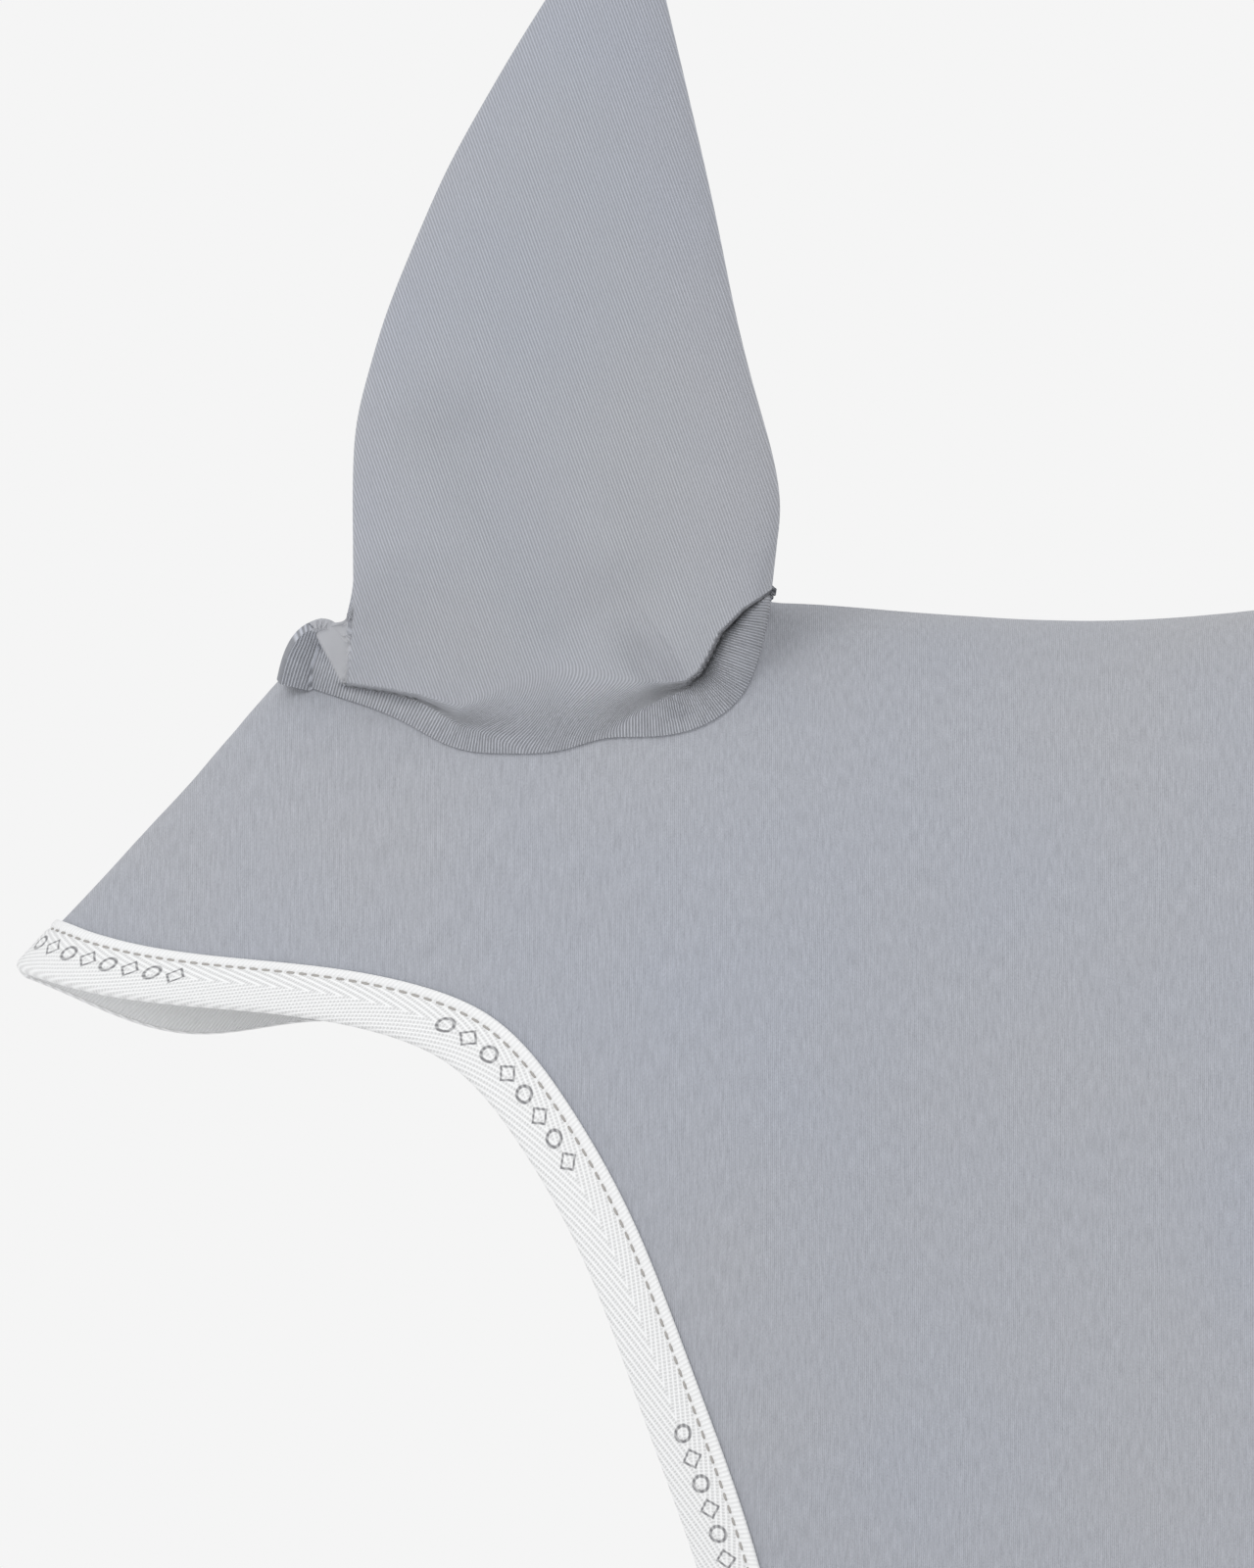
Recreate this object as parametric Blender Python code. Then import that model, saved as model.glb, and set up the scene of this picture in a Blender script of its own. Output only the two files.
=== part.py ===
"""Full-neck stretch fly sheet with an integral hood and ear covers, in the shape it takes on a horse.

Frame: the origin is the poll, where the hood rests between the ears. +X runs to the tail, +Z is up and -Y is
the near (left) side. The cloth of one side is a surface of two parameters: run, the distance along the
topline from the forehead to the tail, and turn, the angle from the topline down to the lower edge. The off
side is its mirror image. Everything that is sewn on is a layer of that same surface.
"""

import math

import bmesh
import bpy
import numpy as np
from mathutils import Matrix

# Overall size: 1.0 is a full-size horse, 145 cm from the withers to the tail
HORSE_SIZE = 1.0
WIDTH_EASE = 1.0

# Cloth and sewn layers
CLOTH = 0.0020
GAP = 0.0003
SEAM_GAP = 0.0004
BAND_WIDTH = 0.0145
TAPE = 0.0008
PAD = 0.0060

# Zip
ZIP_SLOT_HALF = 0.0050
ZIP_SLIT_HALF = 0.0009
CHAIN_INNER = 0.0006
CHAIN_OUTER = 0.0033
CHAIN_HEIGHT = 0.0024
GUARD_STAND = (0.0, 0.0016, 0.0036, 0.0036, 0.0016)
GUARD_THICKNESS = 0.0010
CHAIN_START = 0.0250
CHAIN_END = 0.8400
STOP_LENGTH = 0.0030
SLIDER_AT = 0.0340
SLIDER_LENGTH = 0.0110
SLIDER_HALF_WIDTH = 0.0065
SLIDER_PLATE = 0.0013
POST_HALF = 0.0003
PULL_LENGTH = 0.0260
PULL_HALF_WIDTH = 0.0034
PULL_THICKNESS = 0.0012
PULL_WINDOW = 0.0050
PULL_BAR_HALF = 0.00045

# Ears
EAR_PLANE = 0.050
EAR_HALF_THICKNESS = 0.0150
EAR_LIFT = 0.0050
EAR_HOLE_RUN = 0.148
EAR_HOLE_RUN_HALF = 0.067
EAR_HOLE_TURN = 0.42
EAR_HOLE_TURN_HALF = 0.29
COLLAR_CLEARANCE = 0.0008
EAR_HOLE_REACH = 0.012

# Belly straps and their hooks
STRAP_WIDTH = 0.050
STRAP_THICKNESS = 0.0015
STRAP_LEVEL = 1.085
STRAP_FLAT_HALF = 0.110
STRAP_END = 0.030
LOOP_RADIUS = 0.0025
LOOP_TAIL = 0.018
LOOP_BAR = 0.0020
LOOP_SLOT = 0.0065
SLIDE_AT = 0.075
SLIDE_HALF = 0.0055
PLATE_THICKNESS = 0.0020
EYE_REACH = 0.0120
HOOK_RISE = 0.0026
HOOK_SLOT = (0.0010, 0.0085)
LIP = (0.0035, 0.0055)
LIP_DEPTH = 0.0030
TONGUE = 0.0060
BLEND = 0.0001
HOOK_HALF = 0.0120
PLATE_MARGIN = 0.0065
SLOT_MARGIN = 0.0022
CUT_DEPTH = 0.01

# Tail flap
FLAP_LENGTH = 0.36
FLAP_ROWS = 4
FLAP_SWEEP = 0.085
FLAP_LIFT = 0.004

# Side view of the horse, (x, z) in metres: the topline, the front of the face opening, the chest and hem,
# and the back edge
TOPLINE = ((-0.145, -0.0975), (-0.105, -0.0538), (-0.079, -0.024), (-0.040, -0.0035), (0.0, 0.0),
           (0.0475, -0.0012), (0.1225, -0.0085), (0.200, -0.003), (0.360, 0.008), (0.600, -0.035),
           (0.830, -0.112), (0.930, -0.122), (1.010, -0.117), (1.350, -0.182), (1.650, -0.178),
           (1.950, -0.152), (2.160, -0.200), (2.340, -0.312))
FACE_EDGE = ((-0.145, -0.0975), (-0.128, -0.1020), (-0.083, -0.107), (-0.052, -0.112), (-0.035, -0.119),
             (-0.0155, -0.1405), (0.0004, -0.169), (0.0143, -0.205), (0.030, -0.249), (0.042, -0.283),
             (0.057, -0.305), (0.075, -0.317))
THROAT = (0.075, -0.317)
ZIP_STRAIGHT_END = (0.615, -0.6352)
CHEST_AND_HEM = ((0.645, -0.664), (0.674, -0.740), (0.703, -0.835), (0.760, -0.900), (0.870, -0.936),
                 (1.000, -0.946), (1.300, -0.952), (1.700, -0.952), (2.100, -0.944), (2.380, -0.905))
BACK_EDGE = ((2.340, -0.312), (2.395, -0.420), (2.432, -0.580), (2.428, -0.760), (2.380, -0.905))

# Cross-sections: run along the topline, run along the lower line, half width, how far the section closes
# underneath (1 meets on the middle line, 0 hangs open) and how round it is
SECTIONS = np.array((
    (0.000, 0.000, 0.060, 1.00, 0.60), (0.100, 0.012, 0.065, 1.00, 0.60), (0.183, 0.035, 0.067, 1.00, 0.60),
    (0.306, 0.095, 0.069, 1.00, 0.60), (0.444, 0.185, 0.073, 1.00, 0.60), (0.655, 0.350, 0.088, 1.00, 0.66),
    (0.917, 0.540, 0.135, 1.00, 0.76), (1.032, 0.640, 0.175, 1.00, 0.84), (1.133, 0.748, 0.215, 1.00, 0.90),
    (1.214, 0.860, 0.245, 1.00, 0.92), (1.290, 0.965, 0.262, 0.66, 0.88), (1.380, 1.120, 0.278, 0.32, 0.80),
    (1.561, 1.400, 0.296, 0.10, 0.70), (1.811, 1.800, 0.305, 0.06, 0.64), (2.013, 2.080, 0.300, 0.06, 0.60),
    (2.163, 2.250, 0.292, 0.06, 0.58), (2.337, 2.400, 0.274, 0.06, 0.56), (2.491, 2.500, 0.246, 0.07, 0.56),
    (2.591, 2.564, 0.212, 0.08, 0.58)))
FACE_REACH = 0.42
BACK_REACH = 0.50

# Outline of an ear cover, (x, z) from the poll: front edge and back edge, base to tip
EAR_FRONT = ((-0.0598, -0.010), (-0.0598, 0.034), (-0.0518, 0.068), (-0.0355, 0.107), (-0.0106, 0.150),
             (0.0045, 0.1830))
EAR_BACK = ((0.0470, -0.001), (0.0490, 0.020), (0.0432, 0.048), (0.0330, 0.093), (0.0199, 0.150),
            (0.0045, 0.1830))

FABRIC = ("stretch_cloth", (0.38, 0.39, 0.43), 0.85, 0.0)
BINDING = ("binding_tape", (0.86, 0.87, 0.88), 0.80, 0.0)
WEBBING = ("webbing", (0.30, 0.31, 0.34), 0.80, 0.0)
ZIP_TAPE = ("zip_tape", (0.40, 0.41, 0.45), 0.80, 0.0)
ZIP_METAL = ("zip_metal", (0.62, 0.63, 0.65), 0.30, 1.0)
ZIP_TEETH = ("zip_teeth", (0.55, 0.56, 0.60), 0.45, 0.0)
STEEL = ("buckle_steel", (0.66, 0.66, 0.67), 0.28, 1.0)
FLEECE = ("fleece", (0.80, 0.80, 0.80), 0.95, 0.0)


# ---------------------------------------------------------------- curves

def smooth_curve(points):
    """The natural cubic spline through points, as (function of distance, total distance)."""
    points = np.array(points, float) * HORSE_SIZE
    knots = np.concatenate([[0.0], np.cumsum(np.linalg.norm(np.diff(points, axis=0), axis=1))])
    step = np.diff(knots)
    count = len(knots)
    system = np.eye(count)
    right = np.zeros_like(points)
    for k in range(1, count - 1):
        system[k, k - 1:k + 2] = step[k - 1], 2 * (step[k - 1] + step[k]), step[k]
        right[k] = 6 * ((points[k + 1] - points[k]) / step[k] - (points[k] - points[k - 1]) / step[k - 1])
    bend = np.linalg.solve(system, right)

    def at(distance):
        distance = np.asarray(distance, float)
        k = np.clip(np.searchsorted(knots, distance, side="right") - 1, 0, count - 2)
        a = ((knots[k + 1] - distance) / step[k])[..., None]
        b = 1 - a
        width = (step[k] ** 2)[..., None]
        return (a * points[k] + b * points[k + 1]
                + ((a ** 3 - a) * bend[k] + (b ** 3 - b) * bend[k + 1]) * width / 6)

    return at, knots[-1]


def steady_curve(knots, values):
    """A curve through values that never overshoots them: cubic pieces with limited slopes."""
    knots = np.asarray(knots, float)
    values = np.asarray(values, float)
    step = np.diff(knots)
    slope = np.diff(values) / step
    slopes = np.zeros(len(knots))
    for k in range(1, len(knots) - 1):
        if slope[k - 1] * slope[k] > 0:
            before, after = 2 * step[k] + step[k - 1], step[k] + 2 * step[k - 1]
            slopes[k] = (before + after) / (before / slope[k - 1] + after / slope[k])
    slopes[0], slopes[-1] = slope[0], slope[-1]

    def at(x):
        x = np.asarray(x, float)
        k = np.clip(np.searchsorted(knots, x, side="right") - 1, 0, len(knots) - 2)
        t = np.clip((x - knots[k]) / step[k], 0, 1)
        return ((1 + 2 * t) * (1 - t) ** 2 * values[k] + t * (1 - t) ** 2 * step[k] * slopes[k]
                + t * t * (3 - 2 * t) * values[k + 1] + t * t * (t - 1) * step[k] * slopes[k + 1])

    return at


TOP, TOP_LENGTH = smooth_curve(TOPLINE)
FACE, FACE_LENGTH = smooth_curve(FACE_EDGE)
BACK, BACK_LENGTH = smooth_curve(BACK_EDGE)
ZIP_FROM = np.array(THROAT) * HORSE_SIZE
ZIP_TO = np.array(ZIP_STRAIGHT_END) * HORSE_SIZE
ZIP_STRAIGHT = float(np.linalg.norm(ZIP_TO - ZIP_FROM))
ZIP_WAY = (ZIP_TO - ZIP_FROM) / ZIP_STRAIGHT
ZIP_OUT = np.array((ZIP_WAY[1], -ZIP_WAY[0]))
LEAD_IN = 0.03
CHEST, CHEST_LENGTH = smooth_curve(
    (tuple(np.array(ZIP_STRAIGHT_END) - LEAD_IN * ZIP_WAY), ZIP_STRAIGHT_END) + CHEST_AND_HEM)
LOW_LENGTH = ZIP_STRAIGHT + CHEST_LENGTH - LEAD_IN * HORSE_SIZE
RUNS = SECTIONS[:, 0] * TOP_LENGTH / SECTIONS[-1, 0]
LOW_AT = steady_curve(RUNS, SECTIONS[:, 1] * LOW_LENGTH / SECTIONS[-1, 1])
WIDTH_AT = steady_curve(RUNS, SECTIONS[:, 2] * HORSE_SIZE * WIDTH_EASE)
CLOSE_AT = steady_curve(RUNS, SECTIONS[:, 3])
ROUND_AT = steady_curve(RUNS, SECTIONS[:, 4])


def low_line(distance):
    """The lower edge in the side view: straight under the neck, then round the chest and along the hem."""
    distance = np.asarray(distance, float)[..., None]
    straight = ZIP_FROM + ZIP_WAY * np.minimum(distance, ZIP_STRAIGHT)
    past = np.maximum(distance[..., 0] - ZIP_STRAIGHT, 0) + LEAD_IN * HORSE_SIZE
    return np.where(distance <= ZIP_STRAIGHT, straight, CHEST(past))


def fade(distance, reach):
    """1 at distance 0, easing to 0 at the reach."""
    t = np.clip(distance / (reach * HORSE_SIZE), 0, 1)
    return (1 - t) ** 2 * (1 + 2 * t)


def last_turn(run):
    """The turn at the lower edge: pi where the section closes underneath, pi / 2 where it hangs open."""
    return math.pi * (0.5 + 0.5 * CLOSE_AT(run))


def near_side(run, share):
    """Points of the near side's inner face. share is turn over the section's last turn, 0 to 1."""
    run, share = np.broadcast_arrays(np.asarray(run, float), np.asarray(share, float))
    end = last_turn(run)
    turn = share * end
    down = ((1 - np.cos(turn)) / (1 - np.cos(end)))[..., None]
    chord = TOP(run) * (1 - down) + low_line(LOW_AT(run)) * down
    face_chord = TOP(0.0) * (1 - down) + low_line(0.0) * down
    back_chord = TOP(TOP_LENGTH) * (1 - down) + low_line(LOW_LENGTH) * down
    side = (chord + fade(run, FACE_REACH)[..., None] * (FACE(share * FACE_LENGTH) - face_chord)
            + fade(TOP_LENGTH - run, BACK_REACH)[..., None] * (BACK(share * BACK_LENGTH) - back_chord))
    out = (WIDTH_AT(run) * np.maximum(np.sin(turn), 0) ** ROUND_AT(run)
           + SEAM_GAP / 2 + (ZIP_SLOT_HALF - SEAM_GAP / 2) * share ** 6)
    return np.stack([side[..., 0], -out, side[..., 1]], axis=-1)


def outward(run, share):
    """Unit normals of the near side, pointing away from the horse."""
    step = 1e-4
    run, share = np.broadcast_arrays(np.asarray(run, float), np.asarray(share, float))
    along = (near_side(np.minimum(run + step, TOP_LENGTH), share)
             - near_side(np.maximum(run - step, 0), share))
    across = (near_side(run, np.minimum(share + step, 1)) - near_side(run, np.maximum(share - step, 0)))
    normal = np.cross(along, across)
    normal[..., 1] *= np.clip(share * 40, 0, 1)
    return normal / np.linalg.norm(normal, axis=-1, keepdims=True) * -1.0


# ---------------------------------------------------------------- the grid that every layer shares

def shares_at(run, count):
    """count + 1 shares down one section: a band's width in from each edge, and even steps between."""
    fine = 0.5 - 0.5 * np.cos(np.linspace(0, math.pi, 401))
    points = near_side(run, fine)
    walked = np.concatenate([[0.0], np.cumsum(np.linalg.norm(np.diff(points, axis=0), axis=1))])
    stops = np.concatenate([[0.0], np.linspace(BAND_WIDTH, walked[-1] - BAND_WIDTH, count - 1),
                            [walked[-1]]])
    return np.interp(stops, walked, fine)


ROWS = 16
HEAD_COLUMNS = 13
BODY_RUNS = np.array((1.10, 1.16, 1.214, 1.25, 1.30, 1.38, 1.48, 1.61, 1.6623, 1.79, 1.92, 1.9727, 2.10,
                      2.23, 2.36, 2.47, 2.56)) * TOP_LENGTH / SECTIONS[-1, 0]
FRONT_STRAP, REAR_STRAP = 21, 24


def build_grid():
    """Runs and shares of every grid point, with the first and last columns a band's width from the edges."""
    fine_runs = np.concatenate([np.linspace(0, 0.6, 121)[:-1] * BODY_RUNS[0],
                                np.linspace(0.6 * BODY_RUNS[0], TOP_LENGTH, 200)])
    fine_shares = np.array([shares_at(r, ROWS) for r in fine_runs])
    runs = np.zeros((1 + HEAD_COLUMNS + len(BODY_RUNS) + 1, ROWS + 1))
    shares = np.zeros_like(runs)
    for row in range(ROWS + 1):
        path = near_side(fine_runs, fine_shares[:, row])
        walked = np.concatenate([[0.0], np.cumsum(np.linalg.norm(np.diff(path, axis=0), axis=1))])
        first = np.interp(BAND_WIDTH, walked, fine_runs)
        last = np.interp(walked[-1] - BAND_WIDTH, walked, fine_runs)
        ease = np.linspace(0, 1, HEAD_COLUMNS + 1)[:-1] ** 1.25
        head = first + (BODY_RUNS[0] - first) * ease
        runs[:, row] = np.concatenate([[0.0], head, BODY_RUNS, [last]])[:len(runs)]
        runs[-2, row] = last
        runs[-1, row] = TOP_LENGTH
        shares[:, row] = np.interp(runs[:, row], fine_runs, fine_shares[:, row])
    return runs, shares


GRID_RUNS, GRID_SHARES = build_grid()
POINTS = near_side(GRID_RUNS, GRID_SHARES)
NORMALS = outward(GRID_RUNS, GRID_SHARES)
LAST_COLUMN = len(POINTS) - 1
NECK_SEAM = 1 + HEAD_COLUMNS
HEM_START = NECK_SEAM + 2
MIRROR = np.array((1.0, -1.0, 1.0))


# ---------------------------------------------------------------- solids

def material(spec):
    """The material of a spec (name, colour, roughness, metallic), made once."""
    name, colour, roughness, metallic = spec
    found = bpy.data.materials.get(name)
    if found is None:
        found = bpy.data.materials.new(name)
        found.use_nodes = True
        shader = found.node_tree.nodes["Principled BSDF"]
        shader.inputs["Base Color"].default_value = (*colour, 1.0)
        shader.inputs["Roughness"].default_value = roughness
        shader.inputs["Metallic"].default_value = metallic
    return found


def make_object(name, verts, faces, spec, origin=(0.0, 0.0, 0.0)):
    """A named closed mesh, its faces turned outwards, with its origin at the given point."""
    mesh = bpy.data.meshes.new(name)
    verts = np.asarray(verts, float) - np.asarray(origin, float)
    mesh.from_pydata([tuple(v) for v in verts], [], faces)
    work = bmesh.new()
    work.from_mesh(mesh)
    bmesh.ops.recalc_face_normals(work, faces=work.faces)
    work.to_mesh(mesh)
    work.free()
    mesh.materials.append(material(spec))
    mesh.shade_smooth()
    mesh.set_sharp_from_angle(angle=math.radians(40))
    made = bpy.data.objects.new(name, mesh)
    made.location = origin
    bpy.context.scene.collection.objects.link(made)
    return made


def slab(name, points, normals, low, high, spec, turned=()):
    """A layer of cloth: the space between two offsets of a grid of points. low and high may vary by row.

    Every quad is split from its first corner to its last, and the other way in the rows named in turned,
    so that layers laid over each other bend along the same lines.
    """
    rows, columns = points.shape[:2]
    low = np.broadcast_to(np.asarray(low, float), (rows, columns))[..., None]
    high = np.broadcast_to(np.asarray(high, float), (rows, columns))[..., None]
    under = (points + normals * low).reshape(-1, 3)
    over = (points + normals * high).reshape(-1, 3)
    count = rows * columns
    faces = []
    for i in range(rows - 1):
        for j in range(columns - 1):
            a, b = i * columns + j, i * columns + j + 1
            c, d = a + columns, b + columns
            halves = ((a, b, c), (b, d, c)) if j in turned else ((a, b, d), (a, d, c))
            for half in halves:
                faces += [half, tuple(v + count for v in half[::-1])]
    rim = ([j for j in range(columns)] + [i * columns + columns - 1 for i in range(1, rows)]
           + [(rows - 1) * columns + j for j in range(columns - 2, -1, -1)]
           + [i * columns for i in range(rows - 2, 0, -1)])
    for a, b in zip(rim, rim[1:] + rim[:1]):
        faces.append((a, b, b + count, a + count))
    return make_object(name, np.concatenate([under, over]), faces, spec)


def loft(name, sections, spec, closed=False, origin=(0.0, 0.0, 0.0)):
    """A solid through a row of closed outlines, with flat ends, or joined end to start."""
    sections = np.asarray(sections, float)
    count, corners = sections.shape[:2]
    faces = []
    for i in range(count if closed else count - 1):
        a, b = i * corners, (i + 1) % count * corners
        for k in range(corners):
            m = (k + 1) % corners
            faces.append((a + k, a + m, b + m, b + k))
    if not closed:
        faces.append(tuple(range(corners)))
        faces.append(tuple((count - 1) * corners + k for k in range(corners)))
    return make_object(name, sections.reshape(-1, 3), faces, spec, origin)


def mirrored(points):
    """The same points on the off side."""
    return points * MIRROR


def shrink_side(block, side, amount):
    """Pulls one boundary of a block of points inwards along the cloth."""
    block = block.copy()
    edge, inner = {"first": (0, 1), "last": (-1, -2)}[side]
    way = block[inner] - block[edge]
    block[edge] += way / np.linalg.norm(way, axis=-1, keepdims=True) * amount
    return block


def both_sides(columns, rows):
    """A block of the grid that runs over the topline: near side rows from far to near, then the off side."""
    near_points, near_normals = POINTS[columns, rows], NORMALS[columns, rows]
    points = np.concatenate([near_points[:, ::-1], mirrored(near_points)], axis=1)
    normals = np.concatenate([near_normals[:, ::-1], mirrored(near_normals)], axis=1)
    return points, normals


def under_sides(columns, rows):
    """A block that runs across the zip: near side rows down to the lower edge, then the off side upwards."""
    near_points, near_normals = POINTS[columns, rows], NORMALS[columns, rows]
    points = np.concatenate([near_points, mirrored(near_points)[:, ::-1]], axis=1)
    normals = np.concatenate([near_normals, mirrored(near_normals)[:, ::-1]], axis=1)
    return points, normals


def binding_section(edge, inner, edge_normal, inner_normal):
    """The U of a tape folded over an edge of the cloth."""
    way = edge - inner
    way /= np.linalg.norm(way)
    outer_low, outer_high = CLOTH + GAP, CLOTH + GAP + TAPE
    inner_low, inner_high = -GAP - TAPE, -GAP
    return [inner + inner_normal * outer_high, edge + edge_normal * outer_high + way * (GAP + TAPE),
            edge + edge_normal * inner_low + way * (GAP + TAPE), inner + inner_normal * inner_low,
            inner + inner_normal * inner_high, edge + edge_normal * inner_high + way * GAP,
            edge + edge_normal * outer_low + way * GAP, inner + inner_normal * outer_low]


BINDING_EDGE_CORNERS = (1, 2, 5, 6)


def binding_run(edges, inners):
    """Sections of a binding at grid places, each (column, row)."""
    return np.array([binding_section(POINTS[e], POINTS[i], NORMALS[e], NORMALS[i])
                     for e, i in zip(edges, inners)])


def binding(name, sections, edge_first):
    """A folded tape through its sections, split along the same diagonals as the cloth inside it.

    edge_first says, for each step between sections, whether the split starts at the cloth's edge.
    """
    count = len(sections)
    faces = [tuple(range(8)), tuple((count - 1) * 8 + k for k in range(8))]
    for i in range(count - 1):
        a, b = i * 8, i * 8 + 8
        for k in range(8):
            m = (k + 1) % 8
            if (k in BINDING_EDGE_CORNERS) == edge_first[i]:
                faces += [(a + k, a + m, b + m), (a + k, b + m, b + k)]
            else:
                faces += [(a + k, a + m, b + k), (a + m, b + m, b + k)]
    return make_object(name, np.asarray(sections).reshape(-1, 3), faces, BINDING)


# ---------------------------------------------------------------- cloth

def make_panels():
    hole = ear_contour(EAR_HOLE_RUN_HALF - 0.004, EAR_HOLE_TURN_HALF - 0.04)
    spans = {"neck_panel": slice(0, NECK_SEAM + 1), "body_panel": slice(NECK_SEAM, LAST_COLUMN + 1)}
    for part, columns in spans.items():
        points, normals = POINTS[columns].copy(), NORMALS[columns]
        points = shrink_side(points, "last" if part == "neck_panel" else "first", SEAM_GAP / 2)
        left = slab(f"left_{part}", points, normals, 0.0, CLOTH, FABRIC)
        right = slab(f"right_{part}", mirrored(points), mirrored(normals), 0.0, CLOTH, FABRIC)
        if part == "neck_panel":
            rings = np.array([hole[0] - hole[1] * EAR_HOLE_REACH, hole[0] + hole[1] * EAR_HOLE_REACH])
            cut_through(left, loft("left_ear_hole", rings, FABRIC))
            cut_through(right, loft("right_ear_hole", mirrored(rings), FABRIC))


def make_crest_tape():
    """The reinforcing tape inside the seam that joins the two sides along the topline."""
    points, normals = both_sides(slice(1, LAST_COLUMN), slice(0, 2))
    points = shrink_side(shrink_side(points, "first", 2 * GAP), "last", 2 * GAP)
    slab("crest_seam_tape", points, normals, -GAP - TAPE, -GAP, BINDING, turned=(0,))


def make_withers_pad():
    """The fleece pad inside the withers."""
    points, normals = both_sides(slice(NECK_SEAM + 1, NECK_SEAM + 7), slice(0, 3))
    slab("withers_pad", points, normals, -2 * GAP - TAPE - PAD, -2 * GAP - TAPE, FLEECE, turned=(0, 1))


def make_bindings():
    """The woven tape folded over the face opening, the two hems and the back edge."""
    rows = list(range(ROWS, -1, -1))
    face = binding_run([(0, row) for row in rows], [(1, row) for row in rows])
    binding("face_binding", np.concatenate([face, mirrored(face)[::-1]]),
            [False] * ROWS + [True] * (ROWS + 1))
    columns = list(range(HEM_START, LAST_COLUMN))
    hem = binding_run([(c, ROWS) for c in columns], [(c, ROWS - 1) for c in columns])
    way = hem[-2] - hem[-1]
    hem[-1] += way / np.linalg.norm(way, axis=-1, keepdims=True) * 2 * GAP
    binding("left_hem_binding", hem, [False] * len(columns))
    binding("right_hem_binding", mirrored(hem), [False] * len(columns))
    back = binding_run([(LAST_COLUMN, row) for row in rows], [(LAST_COLUMN - 1, row) for row in rows])
    binding("back_binding", np.concatenate([back, mirrored(back)[::-1]]),
            [True] * ROWS + [False] * (ROWS + 1))


# ---------------------------------------------------------------- ears

def ear_contour(run_half, turn_half, count=28):
    """The line on the near side where an ear cover is sewn on, as (points, normals)."""
    angle = np.linspace(0, 2 * math.pi, count, endpoint=False)
    run = (EAR_HOLE_RUN + run_half * np.cos(angle)) * HORSE_SIZE
    turn = EAR_HOLE_TURN + turn_half * np.sin(angle)
    share = turn / last_turn(run)
    return near_side(run, share), outward(run, share)


def ear_edges():
    """Front and back x of the ear outline, as functions of height above the poll."""
    lines = []
    for outline in (EAR_FRONT, EAR_BACK):
        at, length = smooth_curve(outline)
        points = at(np.linspace(0, length, 200))
        lines.append((points[:, 1], points[:, 0]))
    return lambda z: tuple(np.interp(z, heights, xs) for heights, xs in lines)


EAR_TIP = EAR_FRONT[-1][1] * HORSE_SIZE
EAR_EDGES = ear_edges()


def ear_half_thickness(z):
    """Thickest at the base and closing to the seam at the tip."""
    height = np.clip(z / EAR_TIP, 0, 1)
    return EAR_HALF_THICKNESS * (1 - height ** 2.2) ** 0.5 + 0.0022


def ear_panel_points(levels, across):
    """Middle surface of the outer half of the near ear, rows up the ear and columns front to back."""
    z = EAR_LIFT + (EAR_TIP - 0.006 - EAR_LIFT) * levels[:, None]
    front, back = EAR_EDGES(z)
    side = np.cos(math.pi * (1 - across))[None, :]
    x = (front + back) / 2 + (back - front) / 2 * side
    bulge = ear_half_thickness(z) * (1 - side ** 2) ** 0.5
    y = -EAR_PLANE - CLOTH / 2 - GAP - bulge
    return np.stack([x + 0 * y, y, z + 0 * x], axis=-1)


def make_ears():
    """Each ear cover is two cloth panels, an outer and an inner, sewn front and back."""
    levels = np.linspace(0, 1, 12)
    across = np.linspace(0, 1, 13)
    middle = ear_panel_points(levels, across)
    along = np.gradient(middle, axis=0)
    over = np.gradient(middle, axis=1)
    normals = np.cross(along, over)
    normals /= np.linalg.norm(normals, axis=-1, keepdims=True)
    if normals[5, 6, 1] > 0:
        normals = -normals
    normals[:, 0] = normals[:, -1] = (0.0, -1.0, 0.0)
    plane = np.array((0.0, -2 * EAR_PLANE, 0.0))
    inner = middle * MIRROR + plane
    inner_normals = normals * MIRROR
    for side, flip in (("left", False), ("right", True)):
        for part, points, turned in (("outer", middle, normals), ("inner", inner, inner_normals)):
            shape = mirrored(points) if flip else points
            facing = mirrored(turned) if flip else turned
            slab(f"{side}_ear_{part}_panel", shape, facing, -CLOTH / 2, CLOTH / 2, FABRIC)


def collar_rings(inset):
    """Rings of the collar's wall, from the seam on the hood up to the ear cover's mouth."""
    base, normals = ear_contour(EAR_HOLE_RUN_HALF - inset, EAR_HOLE_TURN_HALF - inset * 10)
    base = base + normals * (CLOTH + COLLAR_CLEARANCE)
    count = len(base)
    angle = np.linspace(0, 2 * math.pi, count, endpoint=False)
    z = EAR_LIFT - 2 * GAP
    front, back = EAR_EDGES(z)
    thick = ear_half_thickness(z) + CLOTH / 2 - inset
    # the seam runs from its back end round by the cheek side, as the ring's angle does
    top = np.stack([(front + back) / 2 + ((back - front) / 2 - inset) * np.cos(angle),
                    -EAR_PLANE - thick * np.sin(angle), np.full(count, z)], axis=-1)
    middle = (base + top) / 2 + normals * 0.004
    middle[:, 2] = np.minimum(middle[:, 2], z - 0.003)
    return np.array([base, middle, top])


def make_collars():
    """The gathered base of each ear cover, which is sewn round the ear opening."""
    outer, inner = collar_rings(0.0), collar_rings(CLOTH)
    wall = np.concatenate([outer, inner[::-1]])
    sections = np.swapaxes(wall, 0, 1)
    loft("left_ear_collar", sections, FABRIC, closed=True)
    loft("right_ear_collar", mirrored(sections), FABRIC, closed=True)


# ---------------------------------------------------------------- zip

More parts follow.
